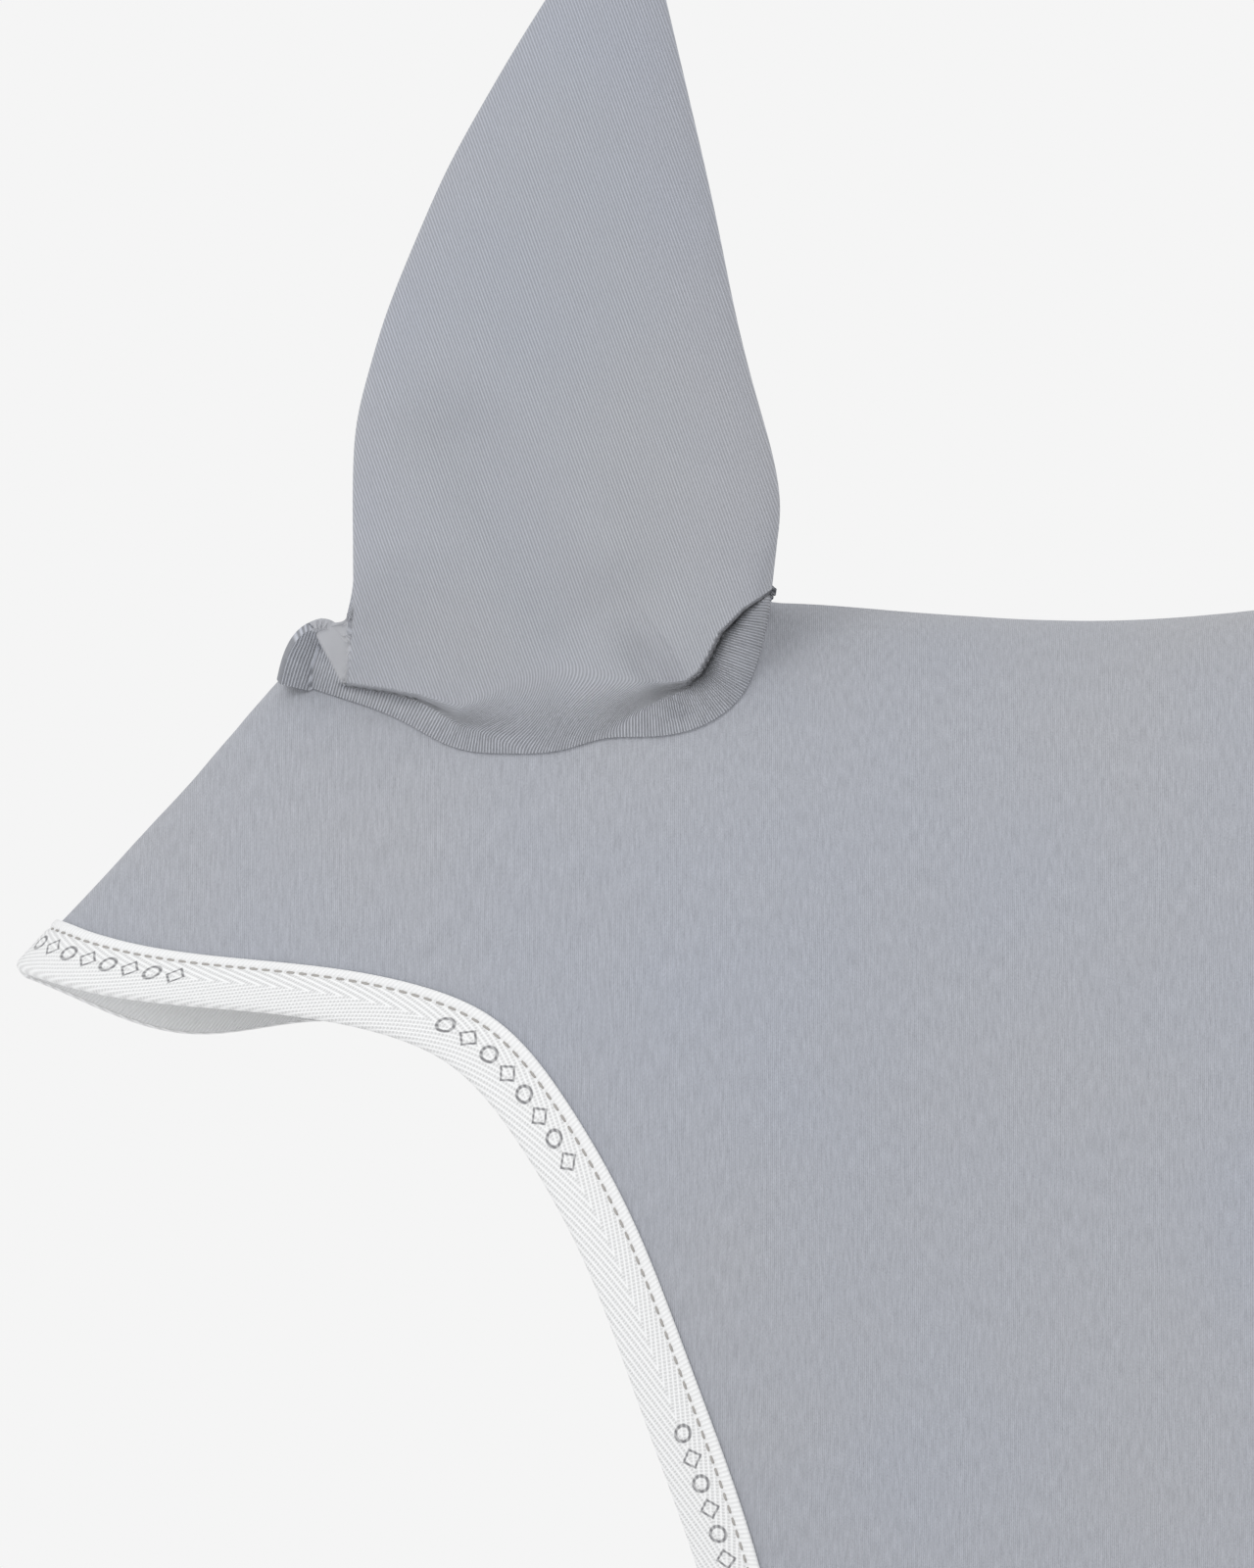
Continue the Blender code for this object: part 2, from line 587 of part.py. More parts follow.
def zip_frame(distance):
    """Point on the zip's middle line, the way along it and the way out, all in the middle plane."""
    step = 0.002
    here, ahead, behind = (low_line(d) for d in (distance, distance + step, max(distance - step, 0.0)))
    way = (ahead - behind) / np.linalg.norm(ahead - behind)
    out = np.array((way[1], -way[0]))
    return tuple(np.array((v[0], 0.0, v[1])) for v in (here, way, out))


def zip_box_corners(distance, half_length, y_low, y_high, out_low, out_high):
    """Eight corners of a block set on the zip line."""
    point, way, out = zip_frame(distance)
    rings = []
    for along in (-half_length, half_length):
        rings.append([point + way * along + out * o + np.array((0, y, 0))
                      for y, o in ((y_low, out_low), (y_high, out_low), (y_high, out_high),
                                   (y_low, out_high))])
    return rings


def zip_strip(name, start, end, y_low, y_high, out_low, out_high, spec):
    """A bar that follows the zip line, straight under the neck and bent round the chest."""
    stops = [start] + [d for d in LOW_AT(GRID_RUNS[:, ROWS]) if start + 0.004 < d < end - 0.004] + [end]
    sections = []
    for distance in stops:
        point, _, out = zip_frame(distance)
        sections.append([point + out * o + np.array((0, y, 0))
                         for y, o in ((y_low, out_low), (y_high, out_low), (y_high, out_high),
                                      (y_low, out_high))])
    return loft(name, sections, spec)


def make_zip_tapes():
    """Tapes sewn inside the edges, reaching past them to the slit that the slider's post runs in."""
    columns = slice(1, HEM_START + 1)
    rows = slice(ROWS - 1, ROWS + 1)
    points, normals = POINTS[columns, rows].copy(), NORMALS[columns, rows].copy()
    lip = points[:, -1:].copy()
    lip[..., 1] = -ZIP_SLIT_HALF
    points = np.concatenate([points, lip], axis=1)
    normals = np.concatenate([normals, normals[:, -1:]], axis=1)
    points = shrink_side(shrink_side(points, "first", 2 * GAP), "last", 2 * GAP)
    slab("left_zip_tape", points, normals, -GAP - TAPE, -GAP, ZIP_TAPE)
    slab("right_zip_tape", mirrored(points), mirrored(normals), -GAP - TAPE, -GAP, ZIP_TAPE)


def make_zip_chain():
    start, end = CHAIN_START, CHAIN_END * HORSE_SIZE
    for side, sign in (("left", -1), ("right", 1)):
        edges = sorted((sign * CHAIN_INNER, sign * CHAIN_OUTER))
        zip_strip(f"{side}_zip_teeth", start, end, *edges, 0.0, CHAIN_HEIGHT, ZIP_TEETH)
        ring = zip_box_corners(start - GAP - STOP_LENGTH / 2, STOP_LENGTH / 2, *edges, 0.0,
                               CHAIN_HEIGHT + GAP)
        loft(f"{side}_zip_top_stop", ring, ZIP_METAL)
    ring = zip_box_corners(end + GAP + STOP_LENGTH, STOP_LENGTH, -CHAIN_OUTER, CHAIN_OUTER, 0.0,
                           CHAIN_HEIGHT + GAP)
    loft("zip_bottom_stop", ring, ZIP_METAL)


def join_blocks(name, blocks, spec, origin):
    """One solid from overlapping blocks, each two rings of four corners."""
    pieces = [loft(name if k == 0 else f"{name}_block_{k}", rings, spec) for k, rings in enumerate(blocks)]
    for k, extra in enumerate(pieces[1:]):
        extra.hide_render = True
        extra.display_type = "WIRE"
        union = pieces[0].modifiers.new(f"join_{k}", "BOOLEAN")
        union.operation = "UNION"
        union.object = extra
    move_origin(pieces[0], origin)


BAIL_POST = 0.0010
BAIL_REACH = 0.0032
BAIL_HALF_WIDTH = 0.0009
PIVOT_OUT = 0.0051
BAIL_LOW, BAIL_HIGH = 0.0060, 0.0070


def make_slider():
    """Two plates joined by the post that parts the teeth, with flanges and a bail for the pull."""
    half = SLIDER_LENGTH / 2
    plate_low = CHAIN_HEIGHT + 2 * GAP
    plate_high = plate_low + SLIDER_PLATE
    under_high = -GAP * 2 - TAPE
    under_low = under_high - SLIDER_PLATE
    at = SLIDER_AT
    flange = (CHAIN_OUTER + GAP, ZIP_SLOT_HALF - 2 * GAP)
    blocks = [zip_box_corners(at, half, -SLIDER_HALF_WIDTH, SLIDER_HALF_WIDTH, plate_low, plate_high),
              zip_box_corners(at, half, -SLIDER_HALF_WIDTH, SLIDER_HALF_WIDTH, under_low, under_high),
              zip_box_corners(at, half * 0.6, -POST_HALF, POST_HALF, under_high - GAP, plate_low + GAP)]
    for sign in (-1, 1):
        blocks.append(zip_box_corners(at, half, *sorted((sign * flange[0], sign * flange[1])),
                                      GAP, plate_low + GAP))
    for sign in (-1, 1):
        blocks.append(zip_box_corners(at + sign * BAIL_REACH, BAIL_POST / 2, -BAIL_HALF_WIDTH,
                                      BAIL_HALF_WIDTH, plate_high - GAP, BAIL_HIGH - GAP))
    blocks.append(zip_box_corners(at, BAIL_REACH + BAIL_POST / 2, -BAIL_HALF_WIDTH - GAP / 3,
                                  BAIL_HALF_WIDTH + GAP / 3, BAIL_LOW, BAIL_HIGH))
    origin = zip_frame(at)[0]
    join_blocks("zip_slider", blocks, ZIP_METAL, origin)


def make_pull():
    """The tab, hanging by a window whose top bar is trapped under the slider's bail."""
    point, _, out = zip_frame(SLIDER_AT)
    pivot = point + out * PIVOT_OUT

    def rings(half_y, z_low, z_high, half_x):
        corners = ((-half_y, z_low), (half_y, z_low), (half_y, z_high), (-half_y, z_high))
        return [[pivot + np.array((x, y, z)) for y, z in corners] for x in (-half_x, half_x)]

    pull = loft("zip_pull", rings(PULL_HALF_WIDTH, -PULL_LENGTH, PULL_BAR_HALF, PULL_THICKNESS / 2),
                ZIP_METAL)
    window = rings(BAIL_HALF_WIDTH + 2 * GAP, -PULL_WINDOW, -PULL_BAR_HALF, 0.01)
    cut_through(pull, loft("zip_pull_window", window, ZIP_METAL))
    move_origin(pull, pivot)


def cut_through(body, cutter):
    """Takes the cutter away from the body and keeps the cutter out of sight."""
    cutter.hide_render = True
    cutter.display_type = "WIRE"
    cut = body.modifiers.new(cutter.name, "BOOLEAN")
    cut.operation = "DIFFERENCE"
    cut.object = cutter


def move_origin(body, origin):
    """Puts the object's origin at a point without moving the solid."""
    body.data.transform(Matrix.Translation([-c for c in origin]))
    body.location = origin


def make_zip_guard():
    """The strip of cloth behind the zip that keeps it off the coat, sewn to the near side only."""
    points, normals = under_sides(slice(2, HEM_START), slice(ROWS - 2, ROWS + 1))
    points, normals = points[:, :-1], normals[:, :-1]
    high = -GAP - np.array(GUARD_STAND)
    slab("zip_guard", points, normals, high - GUARD_THICKNESS, high, FABRIC, turned=(3,))


# ---------------------------------------------------------------- straps, hooks and flap

def strap_centre(column, x, rise):
    """Middle line of half a belly strap, from inside the near hem round under the belly to its loop."""
    inside = 2 * GAP + TAPE + STRAP_THICKNESS / 2
    sewn = [POINTS[column, row] - NORMALS[column, row] * inside for row in (ROWS - 1, ROWS)]
    normals = [NORMALS[column, row] for row in (ROWS - 1, ROWS)]
    hem = sewn[-1]
    level = rise - STRAP_LEVEL * HORSE_SIZE
    angle = np.linspace(0, math.pi / 2, 9)[1:]
    line = [(STRAP_FLAT_HALF + (-hem[1] - STRAP_FLAT_HALF) * math.cos(a),
             hem[2] - 0.004 - (hem[2] - 0.004 - level - LOOP_RADIUS) * math.sin(a)) for a in angle]
    line.append((STRAP_END, level + LOOP_RADIUS))
    for a in np.linspace(90, -90, 9)[1:]:
        line.append((STRAP_END - LOOP_RADIUS * math.cos(math.radians(a)),
                     level + LOOP_RADIUS * math.sin(math.radians(a))))
    line.append((STRAP_END + LOOP_TAIL, level - LOOP_RADIUS))
    line = np.array(line)
    way = np.gradient(np.concatenate([[(-hem[1], hem[2])], line]), axis=0)[1:]
    way /= np.linalg.norm(way, axis=1, keepdims=True)
    for (y, z), (wy, wz) in zip(line, way):
        sewn.append(np.array((x, -y, z)))
        normals.append(np.array((0.0, wz, wy)))
    return np.array(sewn), np.array(normals)


def make_belly_strap(place, column):
    """A strap from hem to hem, its halves joined by a flat hook in a slotted eye."""
    x = POINTS[column:column + 2, ROWS, 0].mean()
    for side, flip, rise in (("left", False, 0.0), ("right", True, HOOK_RISE)):
        lines = [strap_centre(column + k, x + (k - 0.5) * STRAP_WIDTH * HORSE_SIZE, rise) for k in (0, 1)]
        points = np.array([line[0] for line in lines])
        normals = np.array([line[1] for line in lines])
        half = STRAP_THICKNESS / 2
        if flip:
            points, normals = mirrored(points), mirrored(normals)
        slab(f"{side}_{place}_belly_strap", points, normals, -half, half, WEBBING)
        sign = 1 if flip else -1
        make_keeper(f"{side}_{place}_strap_slide", x, sign * SLIDE_AT,
                    LOOP_RADIUS + rise - STRAP_LEVEL * HORSE_SIZE)
    make_eye(f"{place}_strap_eye", x)
    make_hook(f"{place}_strap_hook", x)


def plate(x, z, y_low, y_high, half_x, thick=None):
    """Two rings of a flat block lying across the horse."""
    half = (thick or PLATE_THICKNESS) / 2
    corners = ((-half_x, y_low), (half_x, y_low), (half_x, y_high), (-half_x, y_high))
    return [[(x + dx, y, z + h) for dx, y in corners] for h in (-half, half)]


def make_eye(name, x):
    """The plate on the near half, with a slot for the strap's loop and a slot for the hook."""
    level = -STRAP_LEVEL * HORSE_SIZE
    half = STRAP_WIDTH * HORSE_SIZE / 2
    bar = LOOP_BAR / 2
    body = loft(name, plate(x, level, -STRAP_END - bar, EYE_REACH, half + PLATE_MARGIN), STEEL)
    strap_slot = plate(x, level, -STRAP_END + bar, -STRAP_END + LOOP_SLOT, half + SLOT_MARGIN, CUT_DEPTH)
    cut_through(body, loft(f"{name}_strap_slot", strap_slot, STEEL))
    hook_slot = plate(x, level, *HOOK_SLOT, HOOK_HALF + SLOT_MARGIN, CUT_DEPTH)
    cut_through(body, loft(f"{name}_hook_slot", hook_slot, STEEL))
    move_origin(body, (x, -STRAP_END, level))


def make_hook(name, x):
    """The plate on the off half: it lies on the eye, and its turned-down lip sits in the eye's slot."""
    eye_level = -STRAP_LEVEL * HORSE_SIZE
    level = eye_level + HOOK_RISE
    half = STRAP_WIDTH * HORSE_SIZE / 2
    bar = LOOP_BAR / 2
    lip_end = eye_level - LIP_DEPTH
    blocks = [plate(x, level, LIP[1] + TONGUE, STRAP_END + bar, half + PLATE_MARGIN),
              plate(x, level, LIP[0] - BLEND, LIP[1] + TONGUE + 10 * BLEND, HOOK_HALF + BLEND,
                    PLATE_THICKNESS - BLEND),
              plate(x, (lip_end + level) / 2, *LIP, HOOK_HALF, level - lip_end)]
    join_blocks(name, blocks, STEEL, (x, STRAP_END, level))
    slot = plate(x, level, STRAP_END - LOOP_SLOT, STRAP_END - bar, half + SLOT_MARGIN, CUT_DEPTH)
    cut_through(bpy.data.objects[name], loft(f"{name}_strap_slot", slot, STEEL))


def make_keeper(name, x, y, z):
    """A slide that the strap runs through: a frame round the webbing."""
    half = STRAP_WIDTH * HORSE_SIZE / 2
    outer_x, outer_z = half + 0.0042, STRAP_THICKNESS / 2 + GAP + 0.0022
    inner_x, inner_z = half + 0.0012, STRAP_THICKNESS / 2 + GAP
    rings = []
    for px, pz in ((-1, -1), (1, -1), (1, 1), (-1, 1)):
        rings.append([(x + px * outer_x, y - SLIDE_HALF, z + pz * outer_z),
                      (x + px * outer_x, y + SLIDE_HALF, z + pz * outer_z),
                      (x + px * inner_x, y + SLIDE_HALF, z + pz * inner_z),
                      (x + px * inner_x, y - SLIDE_HALF, z + pz * inner_z)])
    loft(name, rings, STEEL, closed=True, origin=(x, y, z))


def make_tail_flap():
    """The flap that hangs over the tail from the top of the back edge."""
    reach = FLAP_ROWS
    rows = list(range(reach, -1, -1))
    edge = POINTS[LAST_COLUMN, rows]
    edge = np.concatenate([edge, mirrored(edge)[::-1]])
    away = POINTS[LAST_COLUMN, rows] - POINTS[LAST_COLUMN - 1, rows]
    away = np.concatenate([away, mirrored(away)[::-1]])
    away /= np.linalg.norm(away, axis=1, keepdims=True)
    start = edge + away * (3 * GAP + TAPE)
    drop = np.linspace(0, 1, 9) * FLAP_LENGTH * HORSE_SIZE
    layers = []
    for d in drop:
        share = d / (FLAP_LENGTH * HORSE_SIZE)
        shift = np.array((FLAP_SWEEP * share ** 0.75 + FLAP_LIFT * min(share * 8, 1), 0.0, -d))
        layers.append(start + shift)
    points = np.array(layers)
    normals = np.cross(np.gradient(points, axis=1), np.gradient(points, axis=0))
    normals /= np.linalg.norm(normals, axis=-1, keepdims=True)
    if normals[4, reach, 0] < 0:
        normals = -normals
    slab("tail_flap", points, normals, 0.0, CLOTH, FABRIC)


# ---------------------------------------------------------------- build

def main():
    for old in list(bpy.data.objects):
        bpy.data.objects.remove(old, do_unlink=True)
    make_panels()
    make_crest_tape()
    make_withers_pad()
    make_bindings()
    make_ears()
    make_collars()
    make_zip_tapes()
    make_zip_chain()
    make_slider()
    make_pull()
    make_zip_guard()
    make_belly_strap("front", FRONT_STRAP)
    make_belly_strap("rear", REAR_STRAP)
    make_tail_flap()


main()
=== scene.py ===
"""A full-neck stretch fly sheet with its hood and ear covers, as a set of sewn pieces on a plain stage.

Frame: the origin is the poll, +X runs to the tail, +Z is up and -Y is the near side. The cloth of one side
is a surface of two parameters: run, the distance along the topline, and share, the part of the way down to
the lower edge. Every sewn piece is a layer of that surface.
"""

import math

import bpy
import numpy as np
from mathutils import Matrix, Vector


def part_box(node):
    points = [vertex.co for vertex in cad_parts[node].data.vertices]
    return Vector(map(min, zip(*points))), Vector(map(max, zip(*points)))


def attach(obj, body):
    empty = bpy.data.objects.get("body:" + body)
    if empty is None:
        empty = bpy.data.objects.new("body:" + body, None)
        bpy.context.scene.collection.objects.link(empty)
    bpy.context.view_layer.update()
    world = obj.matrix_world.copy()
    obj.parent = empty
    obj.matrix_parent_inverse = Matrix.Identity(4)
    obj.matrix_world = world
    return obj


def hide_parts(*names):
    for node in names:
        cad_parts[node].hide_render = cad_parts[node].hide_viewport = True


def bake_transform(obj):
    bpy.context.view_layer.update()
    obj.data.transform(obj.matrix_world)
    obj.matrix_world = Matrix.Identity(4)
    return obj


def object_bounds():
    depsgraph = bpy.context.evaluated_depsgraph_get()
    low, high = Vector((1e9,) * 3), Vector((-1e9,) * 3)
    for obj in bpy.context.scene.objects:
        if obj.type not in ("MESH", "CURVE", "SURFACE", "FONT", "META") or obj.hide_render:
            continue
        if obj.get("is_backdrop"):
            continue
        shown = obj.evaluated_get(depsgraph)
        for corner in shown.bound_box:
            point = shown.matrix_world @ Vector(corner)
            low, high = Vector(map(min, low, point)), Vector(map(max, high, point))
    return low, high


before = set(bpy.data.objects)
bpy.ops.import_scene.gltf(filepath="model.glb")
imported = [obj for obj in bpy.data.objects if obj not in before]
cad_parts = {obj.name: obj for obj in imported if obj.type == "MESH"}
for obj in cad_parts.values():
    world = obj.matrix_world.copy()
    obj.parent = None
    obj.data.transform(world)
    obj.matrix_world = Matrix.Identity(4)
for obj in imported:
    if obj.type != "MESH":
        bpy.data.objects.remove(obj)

bl_info = {
    "name": "Horse fly sheet",
    "version": (1, 0, 0),
    "blender": (4, 5, 0),
    "location": "View3D > Sidebar > Fly sheet",
    "description": "Builds a horse fly sheet with a hood, taped edges, a zip, belly straps and a tail flap",
    "category": "Object",
}

CAD_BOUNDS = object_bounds()

# Thicknesses and gaps of the sewn layers, the same as the solid parts they stand for
CLOTH = 0.0020
GAP = 0.0003
TAPE = 0.0008
PAD = 0.0060
BAND = 0.0145
SEAM_GAP = 0.0004
ZIP_SLOT_HALF = 0.0050
ZIP_SLIT_HALF = 0.0009

# Side view of the horse, (x, z) in metres
TOPLINE = ((-0.145, -0.0975), (-0.105, -0.0538), (-0.079, -0.024), (-0.040, -0.0035), (0.0, 0.0),
           (0.0475, -0.0012), (0.1225, -0.0085), (0.200, -0.003), (0.360, 0.008), (0.600, -0.035),
           (0.830, -0.112), (0.930, -0.122), (1.010, -0.117), (1.350, -0.182), (1.650, -0.178),
           (1.950, -0.152), (2.160, -0.200), (2.340, -0.312))
FACE_EDGE = ((-0.145, -0.0975), (-0.128, -0.1020), (-0.083, -0.107), (-0.052, -0.112), (-0.035, -0.119),
             (-0.0155, -0.1405), (0.0004, -0.169), (0.0143, -0.205), (0.030, -0.249), (0.042, -0.283),
             (0.057, -0.305), (0.075, -0.317))
THROAT = (0.075, -0.317)
ZIP_STRAIGHT_END = (0.615, -0.6352)
CHEST_AND_HEM = ((0.645, -0.664), (0.674, -0.740), (0.703, -0.835), (0.760, -0.900), (0.870, -0.936),
                 (1.000, -0.946), (1.300, -0.952), (1.700, -0.952), (2.100, -0.944), (2.380, -0.905))
BACK_EDGE = ((2.340, -0.312), (2.395, -0.420), (2.432, -0.580), (2.428, -0.760), (2.380, -0.905))

# Cross-sections: run on the topline, run on the lower line, half width, closure underneath, roundness
SECTIONS = np.array((
    (0.000, 0.000, 0.060, 1.00, 0.60), (0.100, 0.012, 0.065, 1.00, 0.60), (0.183, 0.035, 0.067, 1.00, 0.60),
    (0.306, 0.095, 0.069, 1.00, 0.60), (0.444, 0.185, 0.073, 1.00, 0.60), (0.655, 0.350, 0.088, 1.00, 0.66),
    (0.917, 0.540, 0.135, 1.00, 0.76), (1.032, 0.640, 0.175, 1.00, 0.84), (1.133, 0.748, 0.215, 1.00, 0.90),
    (1.214, 0.860, 0.245, 1.00, 0.92), (1.290, 0.965, 0.262, 0.66, 0.88), (1.380, 1.120, 0.278, 0.32, 0.80),
    (1.561, 1.400, 0.296, 0.10, 0.70), (1.811, 1.800, 0.305, 0.06, 0.64), (2.013, 2.080, 0.300, 0.06, 0.60),
    (2.163, 2.250, 0.292, 0.06, 0.58), (2.337, 2.400, 0.274, 0.06, 0.56), (2.491, 2.500, 0.246, 0.07, 0.56),
    (2.591, 2.564, 0.212, 0.08, 0.58)))
FACE_REACH = 0.42
BACK_REACH = 0.50
LEAD_IN = 0.03
MIRROR = np.array((1.0, -1.0, 1.0))
WORDS = {-1: "left", 1: "right"}


# ---------------------------------------------------------------- curves and the cloth's surface

def smooth_curve(points):
    """The natural cubic spline through points: between two knots, the straight mix of both points plus
    the mix of both second slopes times the cube terms. Returned as (function of distance, length)."""
    points = np.array(points, float)
    knots = np.concatenate([[0.0], np.cumsum(np.linalg.norm(np.diff(points, axis=0), axis=1))])
    step = np.diff(knots)
    count = len(knots)
    system = np.eye(count)
    right = np.zeros_like(points)
    for k in range(1, count - 1):
        system[k, k - 1:k + 2] = step[k - 1], 2 * (step[k - 1] + step[k]), step[k]
        right[k] = 6 * ((points[k + 1] - points[k]) / step[k] - (points[k] - points[k - 1]) / step[k - 1])
    bend = np.linalg.solve(system, right)

    def at(distance):
        distance = np.asarray(distance, float)
        k = np.clip(np.searchsorted(knots, distance, side="right") - 1, 0, count - 2)
        a = ((knots[k + 1] - distance) / step[k])[..., None]
        b = 1 - a
        width = (step[k] ** 2)[..., None]
        return (a * points[k] + b * points[k + 1]
                + ((a ** 3 - a) * bend[k] + (b ** 3 - b) * bend[k + 1]) * width / 6)

    return at, knots[-1]


def steady_curve(knots, values):
    """Cubic pieces through values whose slopes are the harmonic means of the neighbouring slopes, so that
    the curve never overshoots."""
    knots = np.asarray(knots, float)
    values = np.asarray(values, float)
    step = np.diff(knots)
    slope = np.diff(values) / step
    slopes = np.zeros(len(knots))
    for k in range(1, len(knots) - 1):
        if slope[k - 1] * slope[k] > 0:
            before, after = 2 * step[k] + step[k - 1], step[k] + 2 * step[k - 1]
            slopes[k] = (before + after) / (before / slope[k - 1] + after / slope[k])
    slopes[0], slopes[-1] = slope[0], slope[-1]

    def at(x):
        x = np.asarray(x, float)
        k = np.clip(np.searchsorted(knots, x, side="right") - 1, 0, len(knots) - 2)
        t = np.clip((x - knots[k]) / step[k], 0, 1)
        return ((1 + 2 * t) * (1 - t) ** 2 * values[k] + t * (1 - t) ** 2 * step[k] * slopes[k]
                + t * t * (3 - 2 * t) * values[k + 1] + t * t * (t - 1) * step[k] * slopes[k + 1])

    return at


TOP, TOP_LENGTH = smooth_curve(TOPLINE)
FACE, FACE_LENGTH = smooth_curve(FACE_EDGE)
BACK, BACK_LENGTH = smooth_curve(BACK_EDGE)
ZIP_FROM = np.array(THROAT)
ZIP_TO = np.array(ZIP_STRAIGHT_END)
ZIP_STRAIGHT = float(np.linalg.norm(ZIP_TO - ZIP_FROM))
ZIP_WAY = (ZIP_TO - ZIP_FROM) / ZIP_STRAIGHT
CHEST, CHEST_LENGTH = smooth_curve(
    (tuple(ZIP_TO - LEAD_IN * ZIP_WAY), ZIP_STRAIGHT_END) + CHEST_AND_HEM)
LOW_LENGTH = ZIP_STRAIGHT + CHEST_LENGTH - LEAD_IN
UNIT = TOP_LENGTH / SECTIONS[-1, 0]
RUNS = SECTIONS[:, 0] * UNIT
LOW_AT = steady_curve(RUNS, SECTIONS[:, 1] * LOW_LENGTH / SECTIONS[-1, 1])
WIDTH_AT = steady_curve(RUNS, SECTIONS[:, 2])
CLOSE_AT = steady_curve(RUNS, SECTIONS[:, 3])
ROUND_AT = steady_curve(RUNS, SECTIONS[:, 4])
NECK_SEAM = 1.10 * UNIT
HEM_START = 1.214 * UNIT


def ease(low, high, x):
    """0 below low, 1 above high, and 3t^2 - 2t^3 between."""
    t = np.clip((np.asarray(x, float) - low) / (high - low), 0, 1)
    return t * t * (3 - 2 * t)


def hump(centre, half, x):
    """The bell e^-((x - centre) / half)^2."""
    return np.exp(-((np.asarray(x, float) - centre) / half) ** 2)


def unit(vectors):
    """The vectors at length one."""
    return vectors / np.linalg.norm(vectors, axis=-1, keepdims=True)


def low_line(distance):
    """The lower edge in the side view: straight under the neck, then round the chest and along the hem."""
    distance = np.asarray(distance, float)[..., None]
    straight = ZIP_FROM + ZIP_WAY * np.minimum(distance, ZIP_STRAIGHT)
    past = np.maximum(distance[..., 0] - ZIP_STRAIGHT, 0) + LEAD_IN
    return np.where(distance <= ZIP_STRAIGHT, straight, CHEST(past))


def last_turn(run):
    """The turn at the lower edge: pi where the section closes underneath, pi / 2 where it hangs open."""
    return math.pi * (0.5 + 0.5 * CLOSE_AT(run))


def near_side(run, share):
    """The near side's inner face. The side view is a mix of topline and lower line by 1 - cos(turn), pulled
    onto the face edge and the back edge near the ends; the depth is half width times sin(turn) to the
    section's roundness."""
    run, share = np.broadcast_arrays(np.asarray(run, float), np.asarray(share, float))
    end = last_turn(run)
    turn = share * end
    down = ((1 - np.cos(turn)) / (1 - np.cos(end)))[..., None]
    chord = TOP(run) * (1 - down) + low_line(LOW_AT(run)) * down
    face_chord = TOP(0.0) * (1 - down) + low_line(0.0) * down
    back_chord = TOP(TOP_LENGTH) * (1 - down) + low_line(LOW_LENGTH) * down
    by_face = 1 - ease(0, FACE_REACH, run)[..., None]
    by_back = 1 - ease(0, BACK_REACH, TOP_LENGTH - run)[..., None]
    side = (chord + by_face * (FACE(share * FACE_LENGTH) - face_chord)
            + by_back * (BACK(share * BACK_LENGTH) - back_chord))
    out = (WIDTH_AT(run) * np.maximum(np.sin(turn), 0) ** ROUND_AT(run)
           + SEAM_GAP / 2 + (ZIP_SLOT_HALF - SEAM_GAP / 2) * share ** 6)
    return np.stack([side[..., 0], -out, side[..., 1]], axis=-1)


def outward(run, share):
    """Unit normals of the near side: the cross product of its two slopes, kept in the middle plane at the
    topline."""
    step = 1e-4
    run, share = np.broadcast_arrays(np.asarray(run, float), np.asarray(share, float))
    along = (near_side(np.minimum(run + step, TOP_LENGTH), share)
             - near_side(np.maximum(run - step, 0), share))
    across = (near_side(run, np.minimum(share + step, 1)) - near_side(run, np.maximum(share - step, 0)))
    normal = np.cross(along, across)
    normal[..., 1] *= np.clip(share * 40, 0, 1)
    return unit(normal) * -1.0


def drape(run, share, side):
    """How far the cloth stands off its smooth form: crossing rows of long waves and hanging ridges that grow
    down the barrel, short cross waves on the neck, and faint waves on the cheek. The two sides differ in
    phase. A ridge is a raised sine to the fourth power, bent by a slow sine."""
    phase = 0.0 if side < 0 else 1.7
    barrel = ease(1.20, 1.75, run) * ease(0.05, 0.75, share)
    waves = (np.sin(run * 11.0 + share * 5.5 + phase) + 0.45 * np.sin(run * 23.0 - share * 9.0 + 2 * phase)
             + 0.25 * np.sin(run * 41.0 + share * 17.0 - phase))
    ridges = (0.5 + 0.5 * np.sin(run * 23.0 + share * 5.5 + 1.6 * np.sin(run * 2.6 + phase) + phase)) ** 4
    hang = ease(1.35, 1.9, run) * ease(0.22, 0.95, share)
    chest = hump(1.22, 0.20, run) * hump(0.62, 0.24, share)
    tight = np.sin(run * 30.0 + share * 16.0 + phase)
    neck = hump(0.62, 0.28, run) * np.sin(math.pi * np.clip(share, 0, 1)) ** 2
    rolls = np.sin(run * 34.0 - share * 7.0 + phase) + 0.5 * np.sin(run * 57.0 + share * 12.0)
    cheek = hump(0.26, 0.10, run) * hump(0.42, 0.25, share)
    flow = np.sin(run * 22.0 + share * 11.0 + 0.6 + phase)
    return (barrel * waves * 0.0062 + hang * ridges * 0.0160 + chest * tight * 0.0036 + neck * rolls * 0.0020
            + cheek * flow * 0.0008)


# The sag of the topline in the side view, as (x, height)
SETTLE = np.array((
    (-0.116, 0.0), (-0.110, -0.0004), (-0.100, -0.0019), (-0.090, -0.0025), (-0.083, -0.0018),
    (-0.074, 0.0), (0.040, 0.0), (0.0475, -0.0040), (0.060, -0.0034), (0.080, -0.0027),
    (0.100, -0.0018), (0.120, -0.0013), (0.170, -0.0010), (0.260, 0.0)))


def settle(points, run, share):
    """How far the topline sags where the cloth is pulled between brow, ears and crest: a height read off
    along x, fading out a little way down the side and towards the brow's edge."""
    return (np.interp(points[..., 0], SETTLE[:, 0], SETTLE[:, 1]) * (1 - ease(0.02, 0.24, share))
            * ease(0.014, 0.034, run))


